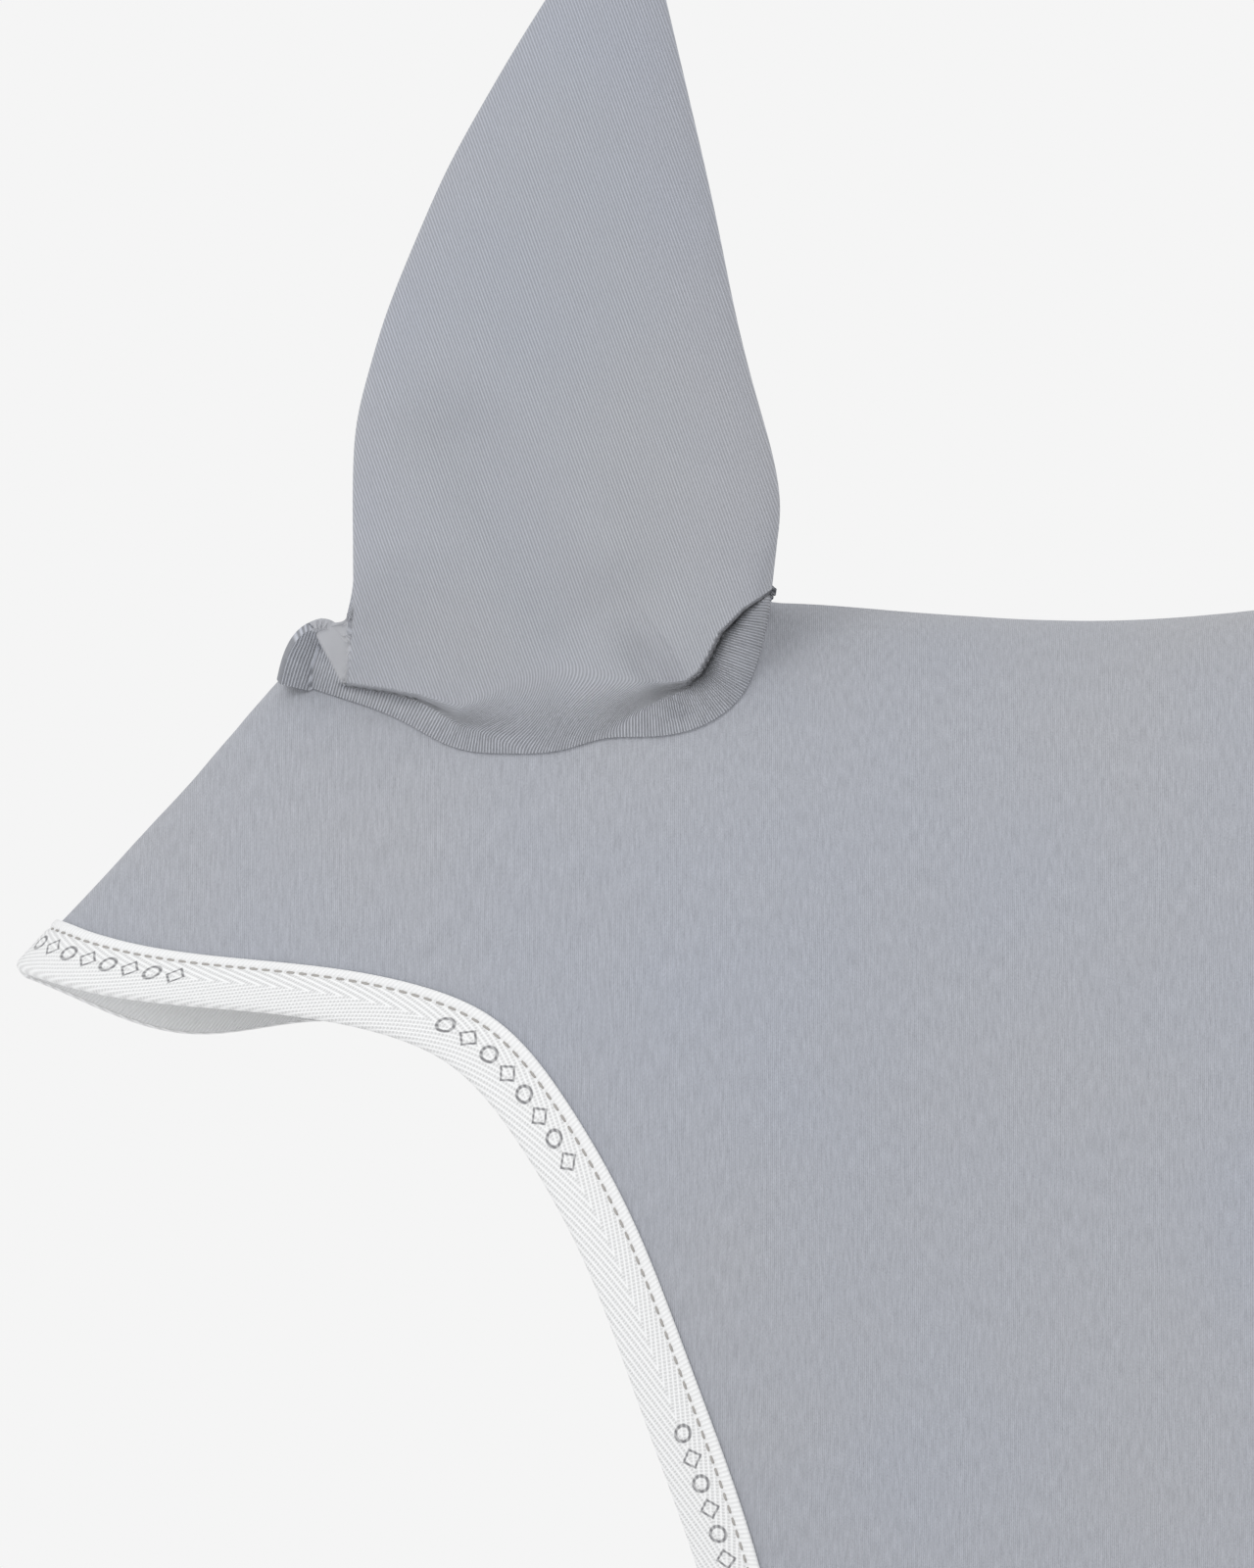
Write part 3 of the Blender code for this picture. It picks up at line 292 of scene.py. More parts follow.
def cloth(run, share, side):
    """Points and outward normals of the draped cloth's inner face, for side -1 (near) or 1 (off)."""
    normals = outward(run, share)
    points = near_side(run, share) + normals * drape(run, share, side)[..., None]
    points[..., 2] += settle(points, run, share)
    if side > 0:
        return points * MIRROR, normals * MIRROR
    return points, normals


# ---------------------------------------------------------------- meshes

def finish_mesh(name, verts, faces, uv, material):
    """A smooth-shaded mesh object with weave coordinates in metres, given per point."""
    mesh = bpy.data.meshes.new(name)
    mesh.from_pydata(np.asarray(verts, float), [], np.asarray(faces).tolist())
    layer = mesh.uv_layers.new(name="Weave")
    corner = np.zeros(len(mesh.loops), dtype=np.int32)
    mesh.loops.foreach_get("vertex_index", corner)
    layer.data.foreach_set("uv", np.asarray(uv, np.float32)[corner].ravel())
    mesh.materials.append(material)
    mesh.shade_smooth()
    mesh.set_sharp_from_angle(angle=math.radians(55))
    made = bpy.data.objects.new(name, mesh)
    bpy.context.scene.collection.objects.link(made)
    return made


def grid_faces(rows, columns, closed_rows=False, closed_columns=False):
    """Quads of a rows by columns grid, joined round where closed."""
    i = np.arange(rows if closed_rows else rows - 1)[:, None]
    j = np.arange(columns if closed_columns else columns - 1)[None, :]
    ahead, beside = (i + 1) % rows, (j + 1) % columns
    return np.stack([i * columns + j, i * columns + beside, ahead * columns + beside,
                     ahead * columns + j], axis=-1).reshape(-1, 4)


def thin_sheet(name, points, normals, low, high, uv, material, keep=None):
    """A closed sheet: the grid of points pushed out along its normals by low and by high, with walls of
    quads wherever a kept face has no neighbour. keep says which quads of the grid are cloth."""
    rows, columns = points.shape[:2]
    low = np.broadcast_to(np.asarray(low, float), (rows, columns))[..., None]
    high = np.broadcast_to(np.asarray(high, float), (rows, columns))[..., None]
    under = (points + normals * low).reshape(-1, 3)
    over = (points + normals * high).reshape(-1, 3)
    faces = grid_faces(rows, columns)
    if keep is not None:
        faces = faces[keep.ravel()]
    corners = over[faces]
    facing = np.cross(corners[:, 1] - corners[:, 0], corners[:, 3] - corners[:, 0])
    if (facing * normals.reshape(-1, 3)[faces[:, 0]]).sum() < 0:
        faces = faces[:, ::-1]
    edges = np.stack([faces, np.roll(faces, -1, axis=1)], axis=-1).reshape(-1, 2)
    both = np.sort(edges, axis=1)
    count = rows * columns
    _, index, shown = np.unique(both[:, 0] * count + both[:, 1], return_index=True, return_counts=True)
    rim = edges[index[shown == 1]]
    wall = np.stack([rim[:, 1], rim[:, 0], rim[:, 0] + count, rim[:, 1] + count], axis=-1)
    all_faces = np.concatenate([faces, faces[:, ::-1] + count, wall])
    verts = np.concatenate([over, under])
    flat_uv = np.asarray(uv, float).reshape(-1, 2)
    used, renamed = np.unique(all_faces, return_inverse=True)
    return finish_mesh(name, verts[used], renamed.reshape(-1, 4), np.concatenate([flat_uv] * 2)[used],
                       material)


def turned_out(verts, triangles):
    """The triangles of a closed solid, turned outwards by the sign of its volume."""
    a, b, c = (verts[triangles[:, k]] for k in range(3))
    return triangles if (a * np.cross(b, c)).sum() > 0 else triangles[:, ::-1]


def swept(name, sections, uv, material):
    """A solid through a row of closed outlines: quads between neighbours, and a fan of triangles from the
    middle at each end."""
    count, corners = sections.shape[:2]
    quads = grid_faces(count, corners, closed_columns=True)
    verts, uv = sections.reshape(-1, 3), uv.reshape(-1, 2)
    ring = np.arange(corners)
    beside = (ring + 1) % corners
    first, last, base = len(verts), len(verts) + 1, (count - 1) * corners
    verts = np.concatenate([verts, sections[0].mean(0)[None], sections[-1].mean(0)[None]])
    uv = np.concatenate([uv, uv[:1], uv[-1:]])
    triangles = np.concatenate([quads[:, [0, 1, 2]], quads[:, [0, 2, 3]],
                                np.stack([beside, ring, ring * 0 + first], 1),
                                np.stack([base + ring, base + beside, ring * 0 + last], 1)])
    return finish_mesh(name, verts, turned_out(verts, triangles), uv, material)


def scattered(name, shape, faces, places, material):
    """Copies of one small solid, each set by a 3 x 3 frame and a point: corner times frame plus point."""
    frames, points = places
    verts = np.einsum("vk,nkj->nvj", np.asarray(shape, float), frames) + points[:, None]
    count = len(shape)
    all_faces = (np.asarray(faces)[None] + np.arange(len(points))[:, None, None] * count)
    uv = np.zeros((len(points) * count, 2))
    uv[:, 0] = np.repeat(np.arange(len(points)), count)
    return finish_mesh(name, verts.reshape(-1, 3), all_faces.reshape(-1, faces.shape[1]), uv, material)


def walked(points, axis=0):
    """Distance walked along an axis of a grid of points, from zero."""
    steps = np.linalg.norm(np.diff(points, axis=axis), axis=-1)
    start = np.zeros_like(np.take(steps, [0], axis=axis))
    return np.concatenate([start, np.cumsum(steps, axis=axis)], axis=axis)


def even_shares(runs, count):
    """For each run, count shares at even distances down the section."""
    fine = 0.5 - 0.5 * np.cos(np.linspace(0, math.pi, 241))
    lengths = walked(near_side(runs[:, None], fine[None, :]), axis=1)
    return np.array([np.interp(np.linspace(0, row[-1], count), row, fine) for row in lengths])


def weave_uv(points):
    """Weave coordinates of a grid: across, the horizontal distance walked along the runs from where the
    first column lies, and down, the distance walked down each section."""
    level = points.copy()
    level[..., 2] = 0
    across = points[0, :, 0] + walked(level, axis=0)
    return np.stack([across, walked(points, axis=1)], axis=-1)


def edge_reach(kind, places, reach):
    """Runs and shares of the points reach in from an edge of the cloth, at places along that edge: shares
    for the face and the back, runs for the topline, the hem and the zip."""
    steps = np.linspace(0, 0.075, 60)
    runs, shares = [], []
    for place in places:
        fixed = np.full_like(steps, place)
        run, share = {"face": (steps, fixed), "back": (TOP_LENGTH - steps, fixed),
                      "top": (fixed, steps)}.get(kind, (fixed, 1 - steps))
        length = walked(near_side(run, share))
        runs.append(np.interp(reach, length, run))
        shares.append(np.interp(reach, length, share))
    return np.array(runs), np.array(shares)


# ---------------------------------------------------------------- materials

class Amount:
    """A number that varies over a surface. +, -, * and / between amounts become Math nodes."""

    def __init__(self, tree, socket):
        self.tree, self.socket = tree, socket

    def maths(self, operation, *values):
        """One Math node on amounts and plain numbers."""
        node = self.tree.nodes.new("ShaderNodeMath")
        node.operation = operation
        for slot, value in zip(node.inputs, values):
            if isinstance(value, Amount):
                self.tree.links.new(value.socket, slot)
            else:
                slot.default_value = value
        return Amount(self.tree, node.outputs[0])

    def __add__(self, other):
        return self.maths("ADD", self, other)

    def __sub__(self, other):
        return self.maths("SUBTRACT", self, other)

    def __mul__(self, other):
        return self.maths("MULTIPLY", self, other)

    def __truediv__(self, other):
        return self.maths("DIVIDE", self, other)

    def __rsub__(self, other):
        return self.maths("SUBTRACT", other, self)

    def __rtruediv__(self, other):
        return self.maths("DIVIDE", other, self)

    __radd__ = __add__
    __rmul__ = __mul__

    def sine(self):
        return self.maths("SINE", self)

    def size(self):
        return self.maths("ABSOLUTE", self)

    def part(self):
        return self.maths("FRACT", self)

    def least(self, other):
        return self.maths("MINIMUM", self, other)

    def most(self, other):
        return self.maths("MAXIMUM", self, other)

    def power(self, other):
        return self.maths("POWER", self, other)

    def held(self):
        """This, held between 0 and 1."""
        return self.most(0.0).least(1.0)

    def cycle(self, length):
        """The sine that repeats every length."""
        return (self * (2 * math.pi / length)).sine()

    def below(self, edge, soft):
        """1 where this is below the edge, falling to 0 over the soft width."""
        return ((edge - self) / soft + 0.5).held()


class Finish:
    """A material being built round one Principled shader."""

    def __init__(self, name, roughness, metallic=0.0, **fixed):
        self.material = bpy.data.materials.new(name)
        self.material.use_nodes = True
        self.tree = self.material.node_tree
        self.shader = self.tree.nodes["Principled BSDF"]
        self.shader.inputs["Roughness"].default_value = roughness
        self.shader.inputs["Metallic"].default_value = metallic
        for socket, value in fixed.items():
            self.shader.inputs[socket.replace("_", " ")].default_value = value

    def node(self, kind, inputs=None, **settings):
        """Any other node: its settings, then its inputs as numbers, vectors or links."""
        made = self.tree.nodes.new(kind)
        for key, value in settings.items():
            setattr(made, key, value)
        for key, value in (inputs or {}).items():
            if isinstance(value, Amount):
                self.tree.links.new(value.socket, made.inputs[key])
            elif isinstance(value, bpy.types.NodeSocket):
                self.tree.links.new(value, made.inputs[key])
            else:
                made.inputs[key].default_value = value
        return made

    def weave(self):
        """The two weave coordinates, in metres."""
        uv = self.node("ShaderNodeUVMap", uv_map="Weave").outputs[0]
        split = self.node("ShaderNodeSeparateXYZ", {0: uv})
        return Amount(self.tree, split.outputs[0]), Amount(self.tree, split.outputs[1])

    def place(self):
        """The object coordinates, in metres."""
        return self.node("ShaderNodeTexCoord").outputs["Object"]

    def vector(self, x, y, z=0.0):
        """Three amounts or numbers joined into a vector."""
        return self.node("ShaderNodeCombineXYZ", {0: x, 1: y, 2: z}).outputs[0]

    def noise(self, vector, scale, detail=2.0, roughness=0.5):
        """Noise centred on zero."""
        node = self.node("ShaderNodeTexNoise", {"Vector": vector, "Scale": scale, "Detail": detail,
                                                "Roughness": roughness})
        return Amount(self.tree, node.outputs[0]) - 0.5

    def attribute(self, name):
        """A number stored at the points of the mesh."""
        return Amount(self.tree, self.node("ShaderNodeAttribute", attribute_name=name).outputs["Fac"])

    def mixed(self, factor, first, second):
        """The first colour where the factor is 0, the second where it is 1."""
        return self.node("ShaderNodeMix", {0: factor, 6: first, 7: second}, data_type="RGBA").outputs[2]

    def toned(self, factor, colour, first, second):
        """One colour, brightened from the first to the second multiple as the factor rises."""
        return self.mixed(factor, shade(colour, first), shade(colour, second))

    def paint(self, colour, height=None, depth=0.001, roughness=None):
        """Joins a colour, a height for the bump and a roughness to the shader."""
        links = self.tree.links
        links.new(colour, self.shader.inputs["Base Color"])
        if height is not None:
            bump = self.node("ShaderNodeBump", {"Height": height, "Distance": depth, "Strength": 1.0})
            links.new(bump.outputs[0], self.shader.inputs["Normal"])
        if roughness is not None:
            links.new(roughness.socket, self.shader.inputs["Roughness"])
        return self.material


def shade(colour, factor):
    """A colour times a factor, held between 0 and 1."""
    return (*(min(max(c * factor, 0.0), 1.0) for c in colour[:3]), 1.0)


COOL_TINT = (0.97, 0.99, 1.025, 1.0)
WARM_TINT = (1.035, 1.01, 0.965, 1.0)


def knit_finish(name, colour, pitch, ribs, streaks):
    """Stretch knit: ribs that run down the cloth every pitch, broken up along their length, thin vertical
    streaks, the fine dots of single stitches, and faint warm and cool clouding. The ribs stand deeper where
    the cloth is marked as ribbed band and vanish where it is marked as smooth fold. The ribbed band's colour
    is also painted paler, as painted light that lifts the shade falling on it."""
    finish = Finish(name, 0.82, Sheen_Weight=0.18, Sheen_Roughness=0.5)
    across, down = finish.weave()
    wander = finish.noise(finish.vector(across * 40.0, down * 40.0), 1.0, 1.0)
    wave = (across + wander * pitch * 0.5).cycle(pitch)
    broken = finish.noise(finish.vector(across * (0.8 / pitch), down * (0.10 / pitch)), 1.0, 3.0, 0.6)
    thread = finish.noise(finish.vector(across * (1.9 / pitch), down * (0.9 / pitch)), 1.0, 2.0, 0.6)
    cloud = finish.noise(finish.place(), 9.0, 3.0)
    smooth = finish.attribute("smooth_fold")
    band = finish.attribute("ribbed_band_and_painted_lift")
    lines = (wave * ribs * (1.0 + broken * 1.6) + broken * streaks + thread * streaks * 0.9) * (1.0 - smooth)
    raised = lines * (1.0 + band * 1.7)
    # band * 0.16 paints the ribbed band paler than the rest of the knit: painted light that lifts the shade
    # falling on the band under the ear's folds
    dark = finish.toned((0.5 - raised * 0.40 - band * 0.16).held(), colour, 1.35, 0.65)
    tint = finish.mixed((cloud * 1.6 + 0.5 + smooth * 0.5).held(), COOL_TINT, WARM_TINT)
    toned = finish.node("ShaderNodeMix", {0: 1.0, 6: dark, 7: tint}, data_type="RGBA", blend_type="MULTIPLY")
    return finish.paint(toned.outputs[2], raised, pitch * 0.12)


TAPE_SPINE = 0.0062
TAPE_LEAN = math.radians(17)
RIM_START = 0.0112
BRAID_PITCH = 0.0011
MARK_PITCH = 0.0068
MARK_MIDDLE = 0.0066
RING_RADIUS, LOZENGE_RADIUS = 0.0020, 0.0024
GROUP_START, GROUP_PITCH, GROUP_SHARE = -0.0340, 0.1224, 0.4444


def herringbone(across, along, spine, lean, row, dot):
    """Rows of tiny dots that lean to both sides of a spine: dark where sin(row phase) and sin(dot phase)
    are both low."""
    off = (across - spine).size()
    cross = off * math.cos(lean) - along * math.sin(lean)
    run = along * math.cos(lean) + off * math.sin(lean)
    rows = cross.cycle(row) * 0.5 + 0.5
    dots = (run + rows * dot * 0.3).cycle(dot) * 0.5 + 0.5
    return rows, rows * dots


def tape_finish(colour, motif, row, dot):
    """White woven tape: a herringbone of dots, a plain selvedge rim with braided cross threads, and groups
    of small rings and lozenges woven in grey at intervals, drawn by their distance from an outline."""
    finish = Finish("woven_edge_tape", 0.78, Sheen_Weight=0.1)
    along, across = finish.weave()
    rows, dots = herringbone(across, along, TAPE_SPINE, TAPE_LEAN, row, dot)
    inside = across.below(RIM_START, 0.0006)
    braid = (along.cycle(BRAID_PITCH) * 0.5 + 0.5) * (1.0 - inside)
    beside = ((along / MARK_PITCH).part() - 0.5) * MARK_PITCH
    is_ring = ((along / (2 * MARK_PITCH)).part() - 0.5).below(0.0, 0.001)
    above = across - MARK_MIDDLE
    ring = (beside * beside + above * above).power(0.5)
    lozenge = beside.size() + above.size()
    mark = (ring - RING_RADIUS).size() * is_ring + (lozenge - LOZENGE_RADIUS).size() * (1.0 - is_ring)
    group = ((along - GROUP_START) / GROUP_PITCH).part().below(GROUP_SHARE, 0.002)
    drawn = mark.below(0.00042, 0.0003) * group * (rows * 0.35 + 0.65)
    fuzz = finish.noise(finish.vector(along * 900.0, across * 900.0), 1.0, 2.0)
    weave = (inside * (dots * 0.75 + rows * 0.25) + braid * 0.5 + fuzz * 0.3).held()
    white = finish.toned(weave, colour, 1.05, 0.82)
    worn = finish.mixed(drawn.least(1.0), white, (*motif[:3], 1.0))
    return finish.paint(worn, 1.0 - weave, 0.00025)


def thread_finish(colour):
    """Sewing thread, with its fibres as fine noise."""
    finish = Finish("sewing_thread", 0.7)
    fibre = finish.noise(finish.place(), 2600.0, 2.0)
    return finish.paint(finish.toned(fibre + 0.5, colour, 0.85, 1.15), fibre, 0.0001)


def woven_finish(name, colour, warp, weft, depth):
    """Plain woven webbing: warp and weft cross as a product of two sines, with a herringbone of tone."""
    finish = Finish(name, 0.75, Sheen_Weight=0.1)
    along, across = finish.weave()
    over = along.cycle(weft) * across.cycle(warp)
    slant = (along + (across.size() / 0.006).part() * 0.004).cycle(weft * 3)
    fuzz = finish.noise(finish.vector(along * 700.0, across * 700.0), 1.0, 3.0)
    tone = (over * 0.22 + slant * 0.14 + fuzz * 0.5 + 0.5).held()
    return finish.paint(finish.toned(tone, colour, 0.72, 1.25), tone, depth)


def metal_finish(name, colour, roughness, grain_across):
    """Satin metal: fine brushed grain along one way, faint wear clouds and a slight cast texture."""
    finish = Finish(name, roughness, 1.0)
    stretch = finish.node("ShaderNodeMapping", {"Vector": finish.place(), "Scale": grain_across}).outputs[0]
    grain = finish.noise(stretch, 1.0, 4.0, 0.6)
    wear = finish.noise(finish.place(), 60.0, 4.0, 0.6)
    tone = finish.toned((grain * 0.8 + wear + 0.5).held(), colour, 0.82, 1.08)
    return finish.paint(tone, grain, 0.00004, (grain * 0.16 + wear * 0.2 + roughness).most(0.1))


def moulded_finish(name, colour):
    """Moulded plastic teeth: fine mottle with a slight sheen."""
    finish = Finish(name, 0.42)
    mottle = finish.noise(finish.place(), 900.0, 2.0)
    return finish.paint(finish.toned(mottle + 0.5, colour, 0.88, 1.12), mottle, 0.00008)


def fleece_finish(colour):
    """Off-white fleece: curled pile from two scales of noise."""
    finish = Finish("curled_fleece", 0.95, Sheen_Weight=0.5, Sheen_Roughness=0.6)
    curl = finish.noise(finish.place(), 420.0, 4.0, 0.7)
    tuft = finish.noise(finish.place(), 110.0, 2.0)
    tone = (curl * 0.9 + tuft * 0.8 + 0.5).held()
    return finish.paint(finish.toned(tone, colour, 0.75, 1.1), tone, 0.0022)


def floor_finish(colour):
    """Pale matte stage floor with a trace of mottle."""
    finish = Finish("stage_floor", 0.9)
    mottle = finish.noise(finish.place(), 3.0, 2.0)
    return finish.paint(finish.toned(mottle + 0.5, colour, 0.99, 1.0))


def made_finish(name, build, *facts):
    """The material of that name, built once."""
    return bpy.data.materials.get(name) or build(*facts)


def settings():
    """The fly sheet's settings in this scene."""
    return bpy.context.scene.fly_sheet


def knit():
    """The fine stretch knit of hood, neck and body."""
    s = settings().cloth
    return made_finish("stretch_knit", knit_finish, "stretch_knit", tuple(s.colour), s.hood_pitch, 0.40, 2.20)


def ear_knit():
    """The coarser ribbed knit of the ear covers."""
    s = settings().cloth
    return made_finish("ear_knit", knit_finish, "ear_knit", tuple(s.colour), s.rib_pitch, 0.70, 0.90)


def tape():
    """The white woven edge tape."""
    s = settings().tape
    return made_finish("woven_edge_tape", tape_finish, tuple(s.colour), tuple(s.motif), s.row_pitch,
                       s.dot_pitch)


def thread():
    """The grey sewing thread."""
    return made_finish("sewing_thread", thread_finish, tuple(settings().tape.thread))


# ---------------------------------------------------------------- hood and body cloth

EAR_OPENING = ((-0.014, -0.0185), (0.043, 0.0135))
OPENING_FLOOR = -0.05
FINE_UNTIL, FINE_STEP, COARSE_STEP = 0.34, 0.0026, 0.0095


def droop(points, side):
    """On the off side the brow hangs a little below the near one: a bell along x, fading up the cheek."""
    if side < 0:
        return points
    amount = 0.0085 * hump(-0.104, 0.030, points[..., 0]) * ease(-0.075, -0.105, points[..., 2])
    return points - amount[..., None] * np.array((0.0, 0.0, 1.0))


def cloth_grid(start, end, rows):
    """Runs and shares of a panel: fine columns at the hood, coarser ones after it, rows evenly spaced."""
    split = min(max(FINE_UNTIL, start), end)
    near = np.linspace(start, split, max(2, int((split - start) / FINE_STEP) + 1))
    rest = np.linspace(split, end, max(2, int((end - split) / COARSE_STEP) + 1))
    runs = np.unique(np.concatenate([near if split > start else [start], rest]))
    return np.repeat(runs[:, None], rows, axis=1), even_shares(runs, rows)


def make_panel(name, node, start, end, side, rows, material, hole=None):
    """One cut of cloth between two runs, from the topline to the lower edge, with an oval opening where a
    hole is given as its middle and its half widths."""
    runs, shares = cloth_grid(start, end, rows)
    points, normals = cloth(runs, shares, side)
    points = droop(points, side)
    keep = None
    if hole:
        (cx, cz), (rx, rz) = hole
        middle = (points[1:, 1:] + points[:-1, :-1]) / 2
        keep = ((middle[..., 0] - cx) / rx) ** 2 + ((middle[..., 2] - cz) / rz) ** 2 > 1
        keep |= middle[..., 2] < OPENING_FLOOR
    made = thin_sheet(name, points, normals, 0.0, CLOTH, weave_uv(near_side(runs, shares)), material, keep)
    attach(made, "root")
    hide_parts(node)
    return made


def layer(name, nodes, points, normals, low, high, material, body, slot):
    """A sewn layer of cloth or tape on a grid of points."""
    uv = np.stack([walked(points, axis=0), walked(points, axis=1)], axis=-1)
    made = thin_sheet(name, points, normals, low, high, uv, material)
    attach(made, body)
    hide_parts(*nodes)
    return made


def over_the_top(runs, reach, rows):
    """A grid that runs over the topline, reach down on each side."""
    shares = edge_reach("top", runs, np.linspace(0, reach, rows))[1]
    wide = np.repeat(runs[:, None], rows, axis=1)
    near_points, near_normals = cloth(wide, shares, -1)
    off_points, off_normals = cloth(wide, shares, 1)
    points = np.concatenate([near_points[:, ::-1], off_points], axis=1)
    return points, np.concatenate([near_normals[:, ::-1], off_normals], axis=1)


# ---------------------------------------------------------------- bound edges

MEASURED_CORNER = 10
INSIDE_SHIFT = 0.1
STITCH_REACH = 0.0114
STITCH_LIFT = 0.00002


def tape_outline():
    """The U of a folded tape as (reach in from the cloth's edge, height over its inner face): out along
    the face with a raised selvedge, a half circle round the edge, back inside, and the same a tape's
    thickness further in."""
    outer = CLOTH + GAP + TAPE
    middle, radius = CLOTH / 2, CLOTH / 2 + GAP + TAPE
    reach = np.array((BAND, BAND - 0.0001, BAND - 0.0006, BAND - 0.0014, BAND - 0.0021, BAND - 0.0026,
                      BAND - 0.0030, BAND - 0.0034, BAND - 0.0040, BAND * 0.5, BAND * 0.3, 0.0015))
    rise = np.array((-0.0003, 0.0001, 0.0003, 0.00035, 0.0003, 0.0001, -0.0002, 0.0, 0.0002, 0.0002, 0.0001,
                     0.0))
    angle = np.linspace(90, -90, 9) * math.pi / 180
    face = np.stack([reach, outer + rise], 1)
    fold = np.stack([-radius * np.cos(angle), middle + radius * np.sin(angle)], 1)
    inside = np.array(((BAND * 0.5, -GAP - TAPE), (BAND, -GAP - TAPE), (BAND, -GAP), (BAND * 0.5, -GAP)))
    small = radius - TAPE
    inner = np.stack([-small * np.cos(angle[::-2]), middle + small * np.sin(angle[::-2])], 1)
    top = np.array(((BAND * 0.5, CLOTH + GAP), (BAND, CLOTH + GAP)))
    return np.concatenate([face, fold, inside, inner, top])


def edge_frames(kind, places, side, reaches):
    """Points and normals at reaches in from an edge. A negative reach goes on past the edge, straight
    along the last three millimetres of cloth."""
    runs, shares = edge_reach(kind, places, np.concatenate([np.maximum(reaches, 0), [0.0, 0.003]]))
    points, normals = cloth(runs, shares, side)
    points = droop(points, side)
    edge, inner = points[:, -2], points[:, -1]
    way = unit(edge - inner)
    beyond = np.maximum(-reaches, 0)[None, :, None] * way[:, None]
    return points[:, :-2] + beyond, normals[:, :-2]


def bound_sections(kind, places, side):
    """Sections of a folded tape along an edge of one side."""
    outline = tape_outline()
    points, normals = edge_frames(kind, places, side, outline[:, 0])
    return points + normals * outline[None, :, 1:2], outline


def make_binding(name, node, runs_of_sections, outline):
    """One folded tape through rows of sections. Its weave runs along the edge, with the reach across, and
    shifted past the motif on the plain inner face."""
    sections = np.concatenate(runs_of_sections)
    along = walked(sections[:, MEASURED_CORNER])
    reach = outline[:, 0] + INSIDE_SHIFT * (outline[:, 1] < -GAP - TAPE + 1e-6)
    uv = np.stack([np.repeat(along[:, None], len(outline), 1),
                   np.repeat(reach[None], len(sections), 0)], axis=-1)
    made = swept(name, sections, uv, tape())
    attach(made, "root")
    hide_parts(node)
    return made


def stitch_shape(length, radius):
    """A thread lying on the cloth: a six-sided rounded rod of five rings, sunk at both ends."""
    sides = 6
    along = np.array((-0.5, -0.42, 0.0, 0.42, 0.5)) * length
    size = np.array((0.35, 0.85, 1.0, 0.85, 0.35)) * radius
    drop = np.array((-0.9, -0.2, 0.15, -0.2, -0.9)) * radius
    angle = np.linspace(0, 2 * math.pi, sides, endpoint=False)
    ring = np.stack([np.repeat(along, sides), (size[:, None] * np.cos(angle)).ravel(),
                     (size[:, None] * np.sin(angle) * 0.7 + drop[:, None]).ravel()], 1)
    quads = grid_faces(5, sides, closed_columns=True)
    fans = np.array([(0, k, k + 1, k + 1) for k in range(1, sides - 1)])
    caps = np.concatenate([fans[:, [0, 2, 1]], fans[:, [0, 1, 2]] + 4 * sides])
    triangles = np.concatenate([quads[:, [0, 2, 1]], quads[:, [0, 3, 2]], caps])
    return ring, triangles


def stitch_places(line, normals, pitch):
    """Frames and points of stitches at every pitch along a line: the way along, across and out."""
    length = walked(line)
    stops = np.arange(pitch / 2, length[-1] - pitch / 2, pitch)
    point = np.stack([np.interp(stops, length, line[:, k]) for k in range(3)], 1)
    ahead = np.stack([np.interp(stops + pitch / 3, length, line[:, k]) for k in range(3)], 1)
    out = unit(np.stack([np.interp(stops, length, normals[:, k]) for k in range(3)], 1))
    way = ahead - point
    way = unit(way - (way * out).sum(1, keepdims=True) * out)
    return np.stack([way, np.cross(out, way), out], axis=1), point


def make_stitches(name, lines, pitch, length, radius, body="root"):
    """Rows of stitches along lines of (points, normals)."""
    parts = [stitch_places(points, normals, pitch) for points, normals in lines]
    frames = np.concatenate([part[0] for part in parts])
    points = np.concatenate([part[1] for part in parts])
    shape, faces = stitch_shape(length, radius)
    made = scattered(name, shape, faces, (frames, points), thread())
    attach(made, body)
    return made


def tape_seam(kind, places, side):
    """The line along which a tape is stitched down, on its face."""
    points, normals = edge_frames(kind, places, side, np.array((STITCH_REACH,)))
    return points[:, 0] + normals[:, 0] * (CLOTH + GAP + TAPE + STITCH_LIFT), normals[:, 0]


# ---------------------------------------------------------------- ears

EAR_PLANE = 0.050
EAR_TIP = 0.1830
EAR_FRONT = ((-0.0598, 0.010), (-0.0598, 0.030), (-0.0589, 0.0418), (-0.0558, 0.0551), (-0.0518, 0.0684),
             (-0.0446, 0.0868), (-0.0355, 0.1072), (-0.0272, 0.1225), (-0.0170, 0.1398), (-0.0106, 0.150),
             (0.0004, 0.168), (0.0050, 0.1805), (0.0080, 0.1830))
EAR_BACK = ((0.0480, 0.010), (0.0490, 0.0195), (0.0478, 0.0306), (0.0432, 0.048), (0.0380, 0.0684),
            (0.0330, 0.0928), (0.0268, 0.1205), (0.0199, 0.150), (0.0150, 0.170), (0.0118, 0.1805),
            (0.0080, 0.1830))
COVER_EDGE = ((0.0470, -0.0015), (0.0460, -0.0110), (0.0435, -0.0197), (0.0398, -0.0278), (0.0340, -0.0335),
              (0.0272, -0.0369), (0.0158, -0.0388), (0.0043, -0.0393), (-0.0062, -0.0421),
              (-0.0205, -0.0429), (-0.0282, -0.0425), (-0.0349, -0.0408), (-0.0445, -0.0359),
              (-0.0560, -0.0311), (-0.0684, -0.0273), (-0.0790, -0.0235))
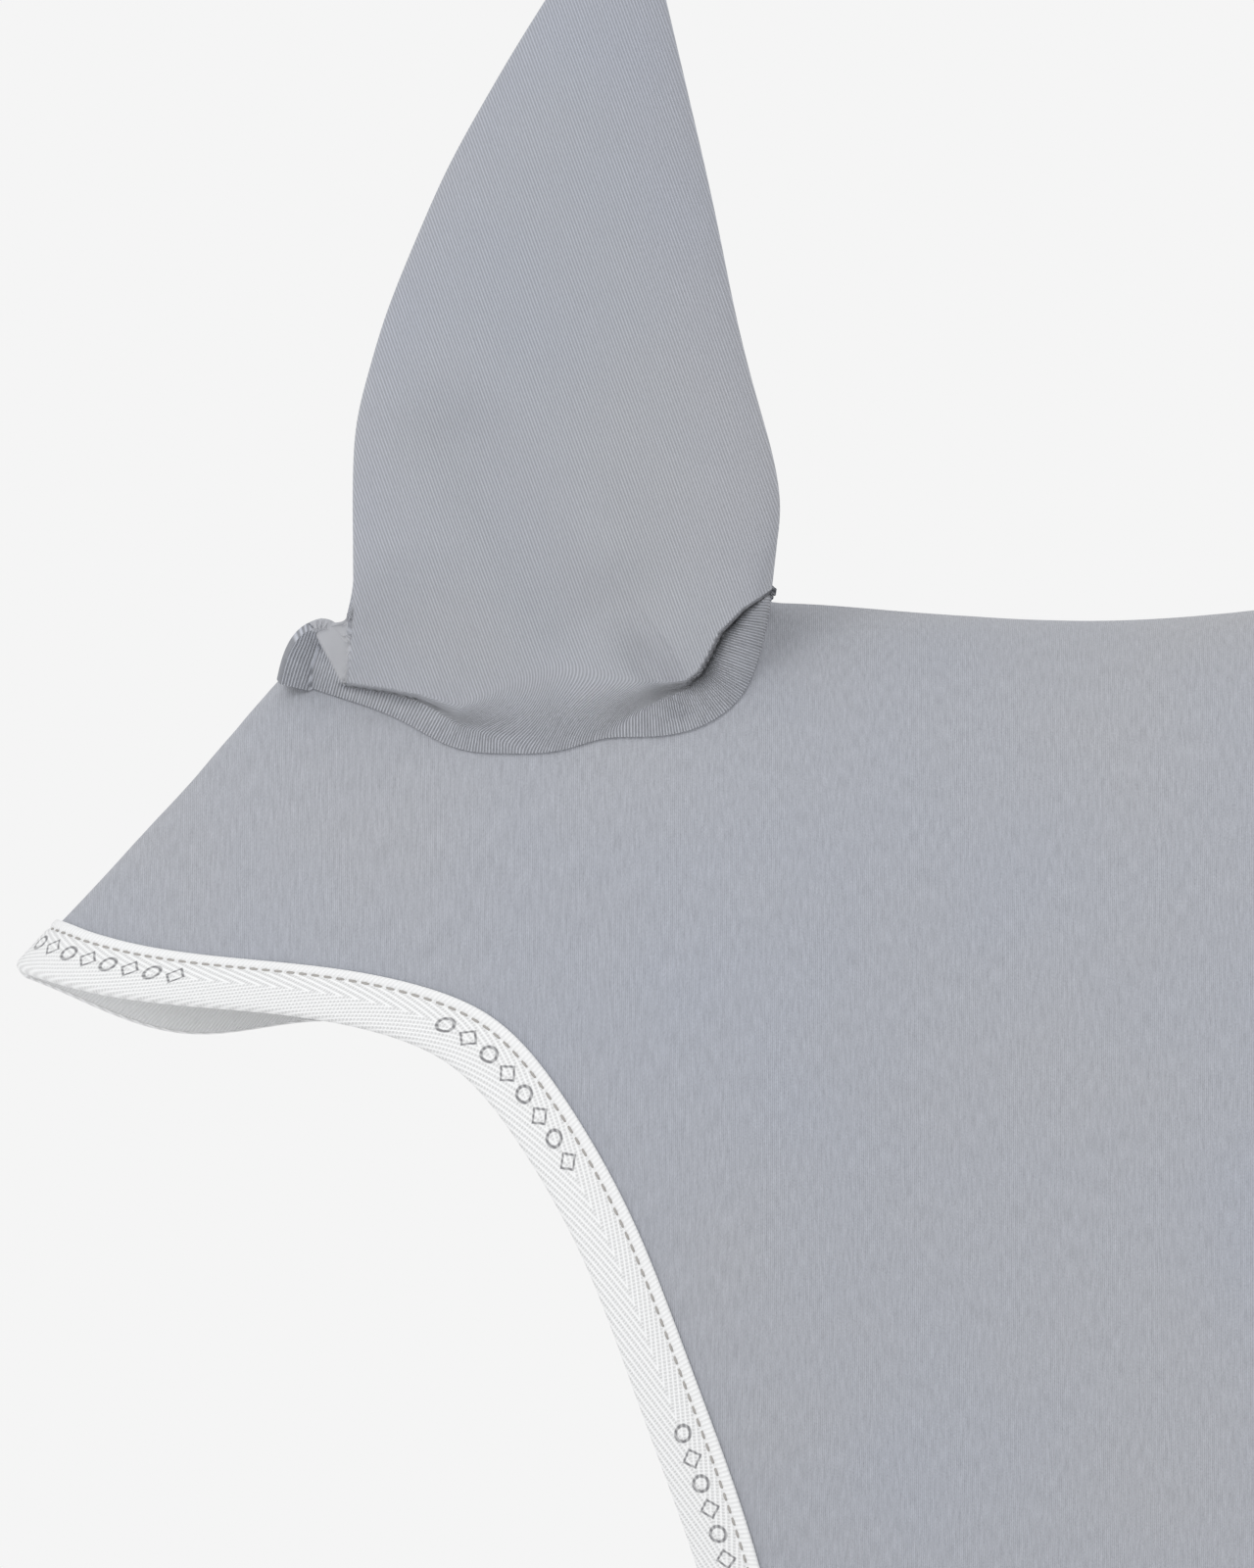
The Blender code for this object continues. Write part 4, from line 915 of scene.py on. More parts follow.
BULGE = ((-0.0790, -0.0235), (-0.0770, -0.0167), (-0.0733, -0.0112), (-0.0689, -0.0091), (-0.0645, -0.0103),
         (-0.0612, -0.0127), (-0.0600, -0.0080), (-0.0598, 0.0010), (-0.0598, 0.0120))
FOLD_FRONT = ((-0.0625, -0.0245), (-0.0590, -0.0250), (-0.0510, -0.0262), (-0.0425, -0.0282),
              (-0.0325, -0.0325))
FOLD_BACK = ((0.0470, -0.0008), (0.0398, -0.0057), (0.0340, -0.0118), (0.0311, -0.0177), (0.0288, -0.0218),
             (0.0254, -0.0247), (0.0215, -0.0257), (0.0190, -0.0262))
POCKET_FRONT = ((-0.0708, -0.0100), (-0.0630, -0.0242))
POCKET_BACK = ((-0.0603, -0.0090), (-0.0621, -0.0242))
EAR_ROWS_LOW, EAR_ROWS_HIGH = 108, 84
EAR_SEAM_HEIGHT = 0.012
NEAR_COLUMNS, FAR_COLUMNS = 0.78, 0.22
COVER_THICKNESS = 0.0012
COVER_STAND, CREST_STAND, CREST_SHARE = 0.0028, 0.0026, 0.030
BASE_MIDDLE, BASE_HALF = -0.016, 0.063
BAND_LEAN = math.radians(20)

# Rolled folds, as their heights over the band, and soft creases as (line, depth, half width, lead-in)
FOLD_RISE, FOLD_SPREAD = -0.0030, 0.010
FRONT_REACH, FRONT_FALL = 0.0034, 0.0044
BACK_REACH_END, BACK_REACH_MORE, BACK_FALL = 0.0009, 0.0020, 0.0066
POCKET_SHALLOW, POCKET_SLOPE = -0.0014, 0.0042
LOBE_FALL, LOBE_SPREAD = 0.0034, 0.0032
DENT = (((-0.050, 0.047), (-0.030, 0.033), (-0.016, 0.010), (-0.004, -0.008)), 0.0042, 0.0105, 0.3)
RISE = (((-0.046, 0.070), (-0.020, 0.052), (0.000, 0.028), (0.006, 0.010)), -0.0022, 0.010, 0.3)
HOLLOW = (((0.004, -0.008), (0.0130, -0.0170), (0.0205, -0.0255), (0.0230, -0.0300)), 0.0040, 0.0042, 0.55)


def hood_place(x, z):
    """Run and share of the near side at side-view places, by Newton steps."""
    grid_run, grid_share = np.meshgrid(np.linspace(0.0, 0.36, 60), np.linspace(0.02, 0.9, 60), indexing="ij")
    table = near_side(grid_run, grid_share)
    far = (table[..., 0][None] - x[:, None, None]) ** 2 + (table[..., 2][None] - z[:, None, None]) ** 2
    best = far.reshape(len(x), -1).argmin(1)
    run, share = grid_run.ravel()[best], grid_share.ravel()[best]
    step = 1e-5
    for _ in range(12):
        here = near_side(run, share)
        by_run = (near_side(run + step, share) - here) / step
        by_share = (near_side(run, share + step) - here) / step
        ex, ez = x - here[..., 0], z - here[..., 2]
        det = by_run[..., 0] * by_share[..., 2] - by_share[..., 0] * by_run[..., 2]
        det = np.where(np.abs(det) < 1e-6, 1e-6, det)
        run = np.clip(run + 0.8 * (ex * by_share[..., 2] - ez * by_share[..., 0]) / det, 0.0, 0.5)
        share = np.clip(share + 0.8 * (ez * by_run[..., 0] - ex * by_run[..., 2]) / det, 0.004, 0.95)
    return run, share


def line_distance(x, z, line):
    """Signed distance in the side view from a line (positive to the left of its way), the share of the line
    run, and the distance without its sign."""
    line = np.array(line)
    best = np.full(x.shape, 1e9)
    signed, along = np.zeros_like(best), np.zeros_like(best)
    start = 0.0
    for a, b in zip(line[:-1], line[1:]):
        way = b - a
        length = np.linalg.norm(way)
        way = way / length
        t = np.clip((x - a[0]) * way[0] + (z - a[1]) * way[1], 0, length)
        dx, dz = x - a[0] - way[0] * t, z - a[1] - way[1] * t
        distance = np.hypot(dx, dz)
        closer = distance < best
        side = np.sign(way[0] * dz - way[1] * dx)
        signed = np.where(closer, distance * side, signed)
        along = np.where(closer, start + t, along)
        best = np.minimum(best, distance)
        start += length
    return signed, along / start, best


def outline_at(outline, z):
    """x of an ear's edge at a height: a spline up to the last three points, straight lines at the tip."""
    at, length = smooth_curve(outline[:-3])
    points = np.concatenate([at(np.linspace(0, length, 200)), np.array(outline[-3:])])
    return np.interp(z, points[:, 1], points[:, 0])


def ear_half_depth(z):
    """Half the thickness: thickest at the base and closing to the seam at the tip."""
    height = np.clip(z / EAR_TIP, 0, 1)
    return 0.0150 * (1 - height ** 2.2) ** 0.5 + 0.0006


def ear_section(z, angle):
    """A lens across the ear at height z: x by cosine between the front and back edges, depth by sine."""
    front, back = outline_at(EAR_FRONT, z), outline_at(EAR_BACK, z)
    x = (front + back) / 2 + (back - front) / 2 * np.cos(angle)
    y = -EAR_PLANE - ear_half_depth(z) * np.sign(np.sin(angle)) * np.abs(np.sin(angle)) ** 0.85
    return np.stack([x + 0 * y, y, z + 0 * x], axis=-1)


def cover_base(angle):
    """The line where the cover is sewn to the hood: its near half follows the edge seen from the side,
    and its other half runs back along the crest."""
    x = BASE_MIDDLE + BASE_HALF * np.cos(angle)
    edge = np.array(COVER_EDGE)[::-1]
    at, length = smooth_curve(edge)
    smooth = at(np.linspace(0, length, 300))
    near = angle <= math.pi
    z = np.interp(x, smooth[:, 0], smooth[:, 1])
    run, share = hood_place(x, z)
    base = near_side(run, share) + outward(run, share) * COVER_STAND
    tops = TOP(np.linspace(0, 0.4, 800))
    crest_run = np.interp(x - 0.009 * ease(0.020, 0.047, x), tops[:, 0], np.linspace(0, 0.4, 800))
    crest = near_side(crest_run, CREST_SHARE) + outward(crest_run, CREST_SHARE) * CREST_STAND
    blend = ease(0.0, 0.35, np.minimum(np.abs(angle), np.minimum(abs(angle - math.pi),
                                                                 abs(angle - 2 * math.pi))))[:, None]
    return np.where(near[:, None], base * blend + (1 - blend) * np.stack([x, crest[:, 1], z], 1), crest)


def cover_form(columns):
    """The ear cover as a grid of rings from its sewn base to its tip, before its creases."""
    spread = np.linspace(0, 1, columns, endpoint=False)
    angle = 2 * math.pi * np.where(spread < NEAR_COLUMNS, spread / NEAR_COLUMNS * 0.5,
                                   0.5 + (spread - NEAR_COLUMNS) / FAR_COLUMNS * 0.5)
    base = cover_base(angle)
    t = np.linspace(0, 1, EAR_ROWS_LOW)[:, None]
    mouth = ear_section(EAR_SEAM_HEIGHT, angle)
    path, length = smooth_curve(BULGE)
    lobe = path(t[:, 0] * length)
    plain = base[None] * (1 - t[..., None]) + mouth[None] * t[..., None]
    side_mix = 1 - (1 - t) ** 1.6
    plain[..., 1] = base[None, :, 1] * (1 - side_mix) + mouth[None, :, 1] * side_mix
    near_front = hump(math.pi, 0.42, angle)[None, :]
    shift_x = (lobe[:, 0] - np.interp(t[:, 0], [0, 1], [BULGE[0][0], BULGE[-1][0]]))[:, None]
    shift_z = (lobe[:, 1] - np.interp(t[:, 0], [0, 1], [BULGE[0][1], BULGE[-1][1]]))[:, None]
    plain[..., 0] += shift_x * near_front
    plain[..., 2] += shift_z * near_front
    top = EAR_TIP - 0.0004
    heights = EAR_SEAM_HEIGHT + (top - EAR_SEAM_HEIGHT) * np.linspace(0, 1, EAR_ROWS_HIGH)[1:, None] ** 0.93
    return np.concatenate([plain, ear_section(heights, angle[None, :])]), angle


def pocket_edges(z):
    """x of the pocket's free edge and of the ear's own edge at a height, on the straight lines between
    their ends."""
    return [low[0] + (z - low[1]) * (high[0] - low[0]) / (high[1] - low[1])
            for high, low in (POCKET_FRONT, POCKET_BACK)]


def in_pocket(x, z):
    """1 on the smooth cloth folded back between the pocket's free edge and the ear, 0 elsewhere."""
    free, ear = pocket_edges(z)
    return (ease(-0.0003, 0.0003, x - free) * (1 - ease(-0.0003, 0.0003, x - ear))
            * ease(-0.0246, -0.0236, z) * (1 - ease(-0.0085, -0.0065, z)))


def creased(points, angle, depth):
    """Creases of the near face, as depth added towards the middle and fading out at the sewn edge: two
    rolled folds that lie over the band, the pocket in front, the hollow behind the back fold and a long
    soft dent down the ear."""
    x, z = points[..., 0], points[..., 2]
    face = ease(0.0, 0.10, np.sin(angle))[None, :] * (z < 0.172)
    front, front_at, front_far = line_distance(x, z, FOLD_FRONT[::-1])
    back, back_at, back_far = line_distance(x, z, FOLD_BACK[::-1])
    y = np.zeros_like(x)
    front_force = ease(0.0, 0.50, front_at) * ease(-0.0650, -0.0615, x) * (front_far < 0.03)
    back_force = ease(0.0, 0.30, back_at) * (back_far < 0.03)
    back_reach = BACK_REACH_END + BACK_REACH_MORE * (1 - back_at)
    for side, force, reach, fall in ((-front, front_force, FRONT_REACH, FRONT_FALL),
                                     (back, back_force, back_reach, BACK_FALL)):
        over = ease(-0.0002, 0.0005, side) * np.exp(-np.maximum(side, 0) / FOLD_SPREAD)
        under = (1 - ease(-0.0003, 0.0002, side)) * np.exp(-np.maximum(-side, 0) / reach)
        y += force * (FOLD_RISE * over + fall * under)
    free, ear = pocket_edges(z)
    across = np.clip((x - free) / np.maximum(ear - free, 0.0004), 0, 1)
    y += in_pocket(x, z) * (POCKET_SHALLOW + POCKET_SLOPE * across)
    before = np.maximum(free - x, 0)
    y += (LOBE_FALL * np.exp(-before / LOBE_SPREAD) * ease(0.0, 0.0004, before) * ease(-0.0235, -0.0170, z)
          * (1 - ease(-0.0105, -0.0085, z)))
    for line, deep, half, lead in (DENT, RISE, HOLLOW):
        _, along, away = line_distance(x, z, line)
        y += deep * hump(0.0, half, away) * ease(0.0, lead, along)
    y -= 0.0020 * np.exp(-(((x - 0.0235) / 0.010) ** 2 + ((z + 0.0130) / 0.014) ** 2))
    y += 0.0012 * np.sin(x * 70 + z * 38) * ease(0.0, 0.06, z) * ease(0.17, 0.11, z)
    row = np.concatenate([np.linspace(0, 1, EAR_ROWS_LOW), np.ones(EAR_ROWS_HIGH - 1)])[:, None]
    moved = points.copy()
    moved[..., 1] += y * face * depth * ease(0.0, 0.12, row)
    return moved


def cover_weave(points):
    """Weave of the cover and how far it is band: in the band its ribs stand square to the sewn edge, above
    the folds they lean forward by twenty degrees."""
    x, z = points[..., 0], points[..., 2]
    edge, length = smooth_curve(COVER_EDGE)
    sewn = edge(np.linspace(0, length, 160))
    along = line_distance(x, z, sewn)[1]
    middle = np.interp(-0.006, sewn[::-1, 0], np.linspace(1, 0, 160))
    square = (middle - along) * length
    slanted = x * math.cos(BAND_LEAN) + z * math.sin(BAND_LEAN)
    folds = FOLD_BACK + ((0.004, -0.0300), (-0.014, -0.0320)) + FOLD_FRONT[::-1]
    above = -line_distance(x, z, folds)[0]
    width = 0.0004 + 0.012 * hump(-0.008, 0.020, x)
    ear = pocket_edges(z)[1]
    lobe = (1 - ease(-0.0003, 0.0003, x - ear)) * (1 - ease(-0.008, -0.004, z))
    mix = ease(-1.0, 1.0, above / width) * (1 - lobe)
    return np.stack([slanted * mix + square * (1 - mix), z], axis=-1), 1 - mix


def make_cover(side, columns):
    """One ear cover, a closed bag two layers thick."""
    form, angle = cover_form(columns)
    outer = creased(form, angle, settings().cloth.crease_depth)
    uv, band = cover_weave(form)
    across = np.roll(outer, -1, axis=1) - np.roll(outer, 1, axis=1)
    up = np.gradient(outer, axis=0)
    normals = np.cross(across, up)
    normals /= np.maximum(np.linalg.norm(normals, axis=-1, keepdims=True), 1e-12)
    centre = outer.mean(axis=1, keepdims=True)
    if (normals * (outer - centre)).sum() < 0:
        normals = -normals
    inner = outer - normals * np.minimum(COVER_THICKNESS, ear_half_depth(outer[..., 2:3]) * 0.45)
    rings = np.concatenate([outer, inner[::-1]])
    rings_uv = np.concatenate([uv, uv[::-1]])
    pocket = in_pocket(form[..., 0], form[..., 2]) * (np.sin(angle) > 0)[None, :]
    # The ribbed band mask sets deeper ribs and also the painted lift of light on the band in knit_finish
    looks = {"smooth_fold": np.concatenate([pocket, pocket[::-1]]),
             "ribbed_band_and_painted_lift": np.concatenate([band, band[::-1]])}
    last = len(outer) - 1
    faces = grid_faces(len(rings), columns, closed_rows=True, closed_columns=True)
    faces = faces[faces[:, 0] // columns != last]
    verts, uv = rings.reshape(-1, 3), rings_uv.reshape(-1, 2)
    caps = []
    for row, flip in ((last, False), (last + 1, True)):
        top = rings[row].mean(0)
        verts = np.concatenate([verts, top[None]])
        uv = np.concatenate([uv, rings_uv[row, :1]])
        ring = row * columns + np.arange(columns)
        beside = np.roll(ring, -1)
        pair = (beside, ring) if flip else (ring, beside)
        caps.append(np.stack([pair[0], pair[1], np.full(columns, len(verts) - 1)], 1))
    triangles = np.concatenate([faces[:, [0, 1, 2]], faces[:, [0, 2, 3]], *caps])
    if side > 0:
        verts = verts * MIRROR
    word = WORDS[side]
    made = finish_mesh(f"{word}_ear_cover", verts, turned_out(verts, triangles), uv, ear_knit())
    for look, values in looks.items():
        made_look = made.data.attributes.new(look, "FLOAT", "POINT")
        made_look.data.foreach_set("value", np.concatenate([values.ravel(), [0.0, 0.0]]).astype(np.float32))
    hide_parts(f"{word}_ear_outer_panel", f"{word}_ear_inner_panel", f"{word}_ear_collar")
    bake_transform(made)
    return made


# ---------------------------------------------------------------- zip

CHAIN_START = 0.0250
CHAIN_END = 0.8400
CHAIN_HEIGHT = 0.0024


def zip_runs(first, last, count):
    """Runs along the lower edge, evenly spaced, from a reach in from the face to a given run."""
    start = edge_reach("face", [1.0], np.array((first,)))[0][0, 0]
    return np.linspace(start, last, count)


def make_zip_tape(side):
    """A tape inside the edge of the cloth that reaches past it to the slit."""
    runs = zip_runs(BAND + 2 * GAP, HEM_START - 2 * GAP, 220)
    points, normals = edge_frames("zip", runs, side, np.array((BAND, 0.011, 0.0075, 0.004, 0.0015, 0.0)))
    lip = points[:, -1:].copy()
    lip[..., 1] = side * ZIP_SLIT_HALF
    points = np.concatenate([points, (points[:, -1:] + lip) / 2, lip], axis=1)
    normals = np.concatenate([normals, normals[:, -1:], normals[:, -1:]], axis=1)
    word = WORDS[side]
    finish = made_finish("zip_tape_weave", woven_finish, "zip_tape_weave", tuple(settings().zip.tape),
                         0.0008, 0.0006, 0.00012)
    layer(f"{word}_zip_tape_weave", [f"{word}_zip_tape"], points, normals, -GAP - TAPE, -GAP, finish, "root",
          "zip_tape")


def tooth_shape(side):
    """A moulded tooth: an outline with a narrow neck and a round head, at three heights that draw in."""
    outline = np.array(((0.00075, 0.0033), (0.00075, 0.0022), (0.00055, 0.0016), (0.00085, 0.0010),
                        (0.00055, 0.0006), (-0.00055, 0.0006), (-0.00085, 0.0010), (-0.00055, 0.0016),
                        (-0.00075, 0.0022), (-0.00075, 0.0033)))
    rings = []
    for height, draw in ((0.0, 1.0), (CHAIN_HEIGHT * 0.75, 1.0), (CHAIN_HEIGHT, 0.72)):
        middle = np.array((0.0, 0.00195))
        flat = middle + (outline - middle) * draw
        rings.append(np.column_stack([flat[:, 0], side * flat[:, 1], np.full(len(flat), height)]))
    count = len(outline)
    quads = grid_faces(3, count, closed_columns=True)
    ring = np.arange(1, count - 1)
    fan = np.stack([ring * 0, ring, ring + 1], 1)
    faces = np.concatenate([quads[:, [0, 1, 2]], quads[:, [0, 2, 3]], fan[:, ::-1], fan + 2 * count])
    verts = np.concatenate(rings)
    return verts, turned_out(verts, faces)


def make_zip_teeth(side):
    """A row of teeth at an even pitch along the zip line; the off row stands half a pitch further on."""
    pitch = settings().zip.pitch
    stops = np.arange(CHAIN_START + 0.001 + (pitch / 2 if side > 0 else 0), CHAIN_END - 0.001, pitch)
    here, ahead, behind = low_line(stops), low_line(stops + 0.002), low_line(stops - 0.002)
    way = unit(ahead - behind)
    zero = np.zeros(len(stops))
    along = np.stack([way[:, 0], zero, way[:, 1]], 1)
    out = np.stack([way[:, 1], zero, -way[:, 0]], 1)
    across = np.tile((0.0, 1.0, 0.0), (len(stops), 1))
    shape, faces = tooth_shape(side)
    word = WORDS[side]
    finish = made_finish("moulded_teeth", moulded_finish, "moulded_teeth", tuple(settings().zip.teeth))
    points = np.stack([here[:, 0], zero, here[:, 1]], 1)
    made = scattered(f"{word}_zip_tooth_row", shape, faces, (np.stack([along, across, out], 1), points),
                     finish)
    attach(made, "root")
    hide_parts(f"{word}_zip_teeth")


def make_zip_guard():
    """The cloth behind the zip: it stands further in towards the middle, by a smooth curve through its
    sewn edge, its fold and its free edge."""
    runs = zip_runs(0.034, HEM_START - 0.03, 200)
    near = np.array((0.040, 0.034, 0.028, 0.021, 0.0145, 0.010, 0.005, 0.0))
    off = np.array((0.0, 0.005, 0.010, 0.0145))
    near_points, near_normals = edge_frames("zip", runs, -1, near)
    off_points, off_normals = edge_frames("zip", runs, 1, off)
    points = np.concatenate([near_points, off_points], axis=1)
    normals = np.concatenate([near_normals, off_normals], axis=1)
    stand = np.interp(np.concatenate([near, -off]), (-0.0145, 0.0, 0.0145, 0.040),
                      (0.0016, 0.0036, 0.0016, 0.0))
    high = -GAP - stand
    made = layer("zip_guard_cloth", ["zip_guard"], points, normals, high - 0.0010, high, knit(), "root",
                 "stretch_cloth")


def metal():
    """Brushed steel of the strap plates, hooks and slides."""
    s = settings().hardware
    return made_finish("brushed_steel", metal_finish, "brushed_steel", tuple(s.steel), 0.30,
                       (60.0, 1800.0, 1800.0))


def cast_metal():
    """Cast zinc of the zip's slider, pull and stops."""
    s = settings().hardware
    return made_finish("cast_zinc", metal_finish, "cast_zinc", tuple(s.zinc), 0.34, (500.0, 500.0, 500.0))


def repaint(names, material):
    """Gives carried-over parts a finished material."""
    for name in names:
        for slot in bpy.data.objects[name].material_slots:
            slot.material = material


# ---------------------------------------------------------------- straps, pad and flap

STRAP_THICKNESS = 0.0015
STRAP_LEVEL = 1.085
STRAP_FLAT_HALF = 0.110
STRAP_END = 0.030
LOOP_RADIUS = 0.0025
LOOP_TAIL = 0.018
HOOK_RISE = 0.0026
STRAP_COLUMNS = 9
FLAT_FIRST, FLAT_LAST = 44, 55
FLAP_DROP, FLAP_SWEEP, FLAP_FOLD = 0.36, 0.085, 0.011


def strap_line(hem_y, hem_z, rise):
    """Half a belly strap in the cross-section: a quarter ellipse from the hem to the flat middle, then
    straight, then a half circle round the plate's bar and a short tail, as (y, z)."""
    level = rise - STRAP_LEVEL
    angle = np.linspace(0, math.pi / 2, 42)[1:]
    top = hem_z - 0.004
    curve = np.stack([STRAP_FLAT_HALF + (hem_y - STRAP_FLAT_HALF) * np.cos(angle),
                      top - (top - level - LOOP_RADIUS) * np.sin(angle)], 1)
    flat = np.stack([np.linspace(STRAP_FLAT_HALF - 0.006, STRAP_END, 14),
                     np.full(14, level + LOOP_RADIUS)], 1)
    turn = np.radians(np.linspace(90, -90, 13)[1:])
    loop = np.stack([STRAP_END - LOOP_RADIUS * np.cos(turn), level + LOOP_RADIUS * np.sin(turn)], 1)
    tail = np.array(((STRAP_END + LOOP_TAIL * 0.5, level - LOOP_RADIUS),
                     (STRAP_END + LOOP_TAIL, level - LOOP_RADIUS)))
    return np.concatenate([curve, flat, loop, tail])


def hem_run_at(x):
    """The run at which the hem passes x, read off a fine row of hem points."""
    runs = np.linspace(1.4, 2.2, 500) * UNIT
    return np.interp(x, near_side(runs, 1.0)[:, 0], runs)


def make_belly_strap(place, side, width):
    """Half a strap: sewn inside the hem, then along its line, with rows of stitches where it is sewn."""
    low, high = (np.array(v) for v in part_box(f"{place}_strap_eye"))
    middle = (low[0] + high[0]) / 2
    xs = middle + np.linspace(-0.5, 0.5, STRAP_COLUMNS) * width
    inside_by = 2 * GAP + TAPE + STRAP_THICKNESS / 2
    points, normals = edge_frames("hem", hem_run_at(xs), side, np.array((BAND, 0.010, 0.005, 0.0)))
    sewn = points - normals * inside_by
    line = strap_line(abs(sewn[:, -1, 1]).mean(), sewn[:, -1, 2].mean(), HOOK_RISE if side > 0 else 0.0)
    hung = np.stack([np.repeat(xs[:, None], len(line), 1),
                     np.repeat(side * line[None, :, 0], STRAP_COLUMNS, 0),
                     np.repeat(line[None, :, 1], STRAP_COLUMNS, 0)], -1)
    grid = np.concatenate([sewn, hung], axis=1)
    facing = np.cross(unit(np.gradient(grid, axis=1)), np.array((1.0, 0.0, 0.0))) * -side
    facing[:, :3] = normals[:, :3]
    grid, facing = np.swapaxes(grid, 0, 1), np.swapaxes(unit(facing), 0, 1)
    finish = made_finish("strap_webbing", woven_finish, "strap_webbing", tuple(settings().hardware.webbing),
                         0.0016, 0.0011, 0.00035)
    word = WORDS[side]
    half = STRAP_THICKNESS / 2
    name = f"{word}_{place}_belly_strap"
    layer(f"{name}_webbing", [name], grid, facing, -half, half, finish, "root", "webbing")
    face = grid + facing * half
    stitched = [(rows, column) for rows in (slice(-5, None), slice(FLAT_FIRST, FLAT_LAST + 1))
                for column in (1, 7)] + [(row, slice(1, 8)) for row in (FLAT_FIRST, FLAT_LAST)]
    lines = [(face[where], facing[where]) for where in stitched]
    make_stitches(f"{name}_stitching", lines, 0.0036, 0.0024, 0.00028)


def row_reach(run, row):
    """How far down the cloth a part's grid row lies: a band's width, then fourteen even steps."""
    length = walked(near_side(np.full(200, run), np.linspace(0, 1, 200)))[-1]
    return BAND + (row - 1) * (length - 2 * BAND) / 14


def make_withers_pad():
    """The fleece pad: a layer over the topline, thick between its sewn channels and thin at its edge."""
    runs = np.linspace(1.16, 1.48, 110) * UNIT
    reach = min(row_reach(run, 2) for run in (runs[0], runs[-1]))
    points, normals = over_the_top(runs, reach, 36)
    u = np.linspace(-1, 1, points.shape[0])[:, None]
    v = np.linspace(-1, 1, points.shape[1])[None, :]
    edge = (1 - np.abs(u) ** 8) * (1 - np.abs(v) ** 6)
    channels = 1 - 0.35 * sum(hump(c, 0.035, v) for c in (-0.5, 0.0, 0.5)) * np.ones_like(u)
    thick = PAD * (0.18 + 0.80 * np.sqrt(np.maximum(edge, 0)) * channels)
    top = -2 * GAP - TAPE
    finish = made_finish("curled_fleece", fleece_finish, tuple(settings().hardware.fleece))
    made = layer("withers_pad_fleece", ["withers_pad"], points, normals, top - thick, top, finish, "root",
                 "fleece")


def make_tail_flap():
    """The flap: the top of the back edge carried down and swept back, with folds that open towards its
    lower edge, outwards only."""
    reach = row_reach(TOP_LENGTH - 1e-6, 4)
    reaches = np.linspace(0, reach, 40)
    fine = np.linspace(0, 0.6, 400)
    shares = np.interp(reaches, walked(near_side(np.full(400, TOP_LENGTH), fine)), fine)
    edge, inner = near_side(TOP_LENGTH, shares), near_side(TOP_LENGTH - 0.02, shares)
    start = edge + unit(edge - inner) * (3 * GAP + TAPE)
    start = np.concatenate([start[:0:-1], start * MIRROR])
    drop = np.linspace(0, 1, 120)[:, None]
    shift = FLAP_SWEEP * drop ** 0.75 + 0.004 * np.minimum(drop * 8, 1)
    points = np.repeat(start[None], 120, 0)
    folds = 0.5 + 0.5 * np.cos(start[:, 1] * 95.0 + 0.6) * np.cos(start[:, 1] * 31.0)
    points[..., 0] += shift + folds[None, :] * FLAP_FOLD * drop ** 1.5
    points[..., 2] -= drop * FLAP_DROP
    normals = unit(np.cross(np.gradient(points, axis=1), np.gradient(points, axis=0)))
    if normals[60, 40, 0] < 0:
        normals = -normals
    uv = np.stack([walked(points, axis=1), walked(points, axis=0)], axis=-1)
    made = thin_sheet("tail_flap_cloth", points, normals, 0.0, CLOTH, uv, knit())
    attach(made, "tail_flap")
    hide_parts("tail_flap")
    top = points + normals * CLOTH
    lines = [(top[2:-4, 2], normals[2:-4, 2]), (top[2:-4, -3], normals[2:-4, -3]),
             (top[-5, 2:-2], normals[-5, 2:-2])]
    stitches = make_stitches("tail_flap_stitching", lines, 0.0036, 0.0024, 0.00022, "tail_flap")


# ---------------------------------------------------------------- stage

FLOOR_GAP = 0.02
FLOOR_HALF, FLOOR_MIDDLE = 5.0, 1.1
SENSOR_WIDTH = 36.0
VIEW_MIDDLE, VIEW_HEIGHT, VIEW_PLANE = (0.010, -0.050), 0.400, -0.045


def add_sun(name, way, strength, spread):
    """A broad sun shining along a direction."""
    light = bpy.data.lights.new(name, "SUN")
    light.energy = strength
    light.angle = math.radians(spread)
    lamp = bpy.data.objects.new(name, light)
    bpy.context.scene.collection.objects.link(lamp)
    from_way = np.array(way, float) / np.linalg.norm(way)
    lamp.rotation_euler = (math.acos(-from_way[2]), 0.0, math.atan2(-from_way[0], from_way[1]))


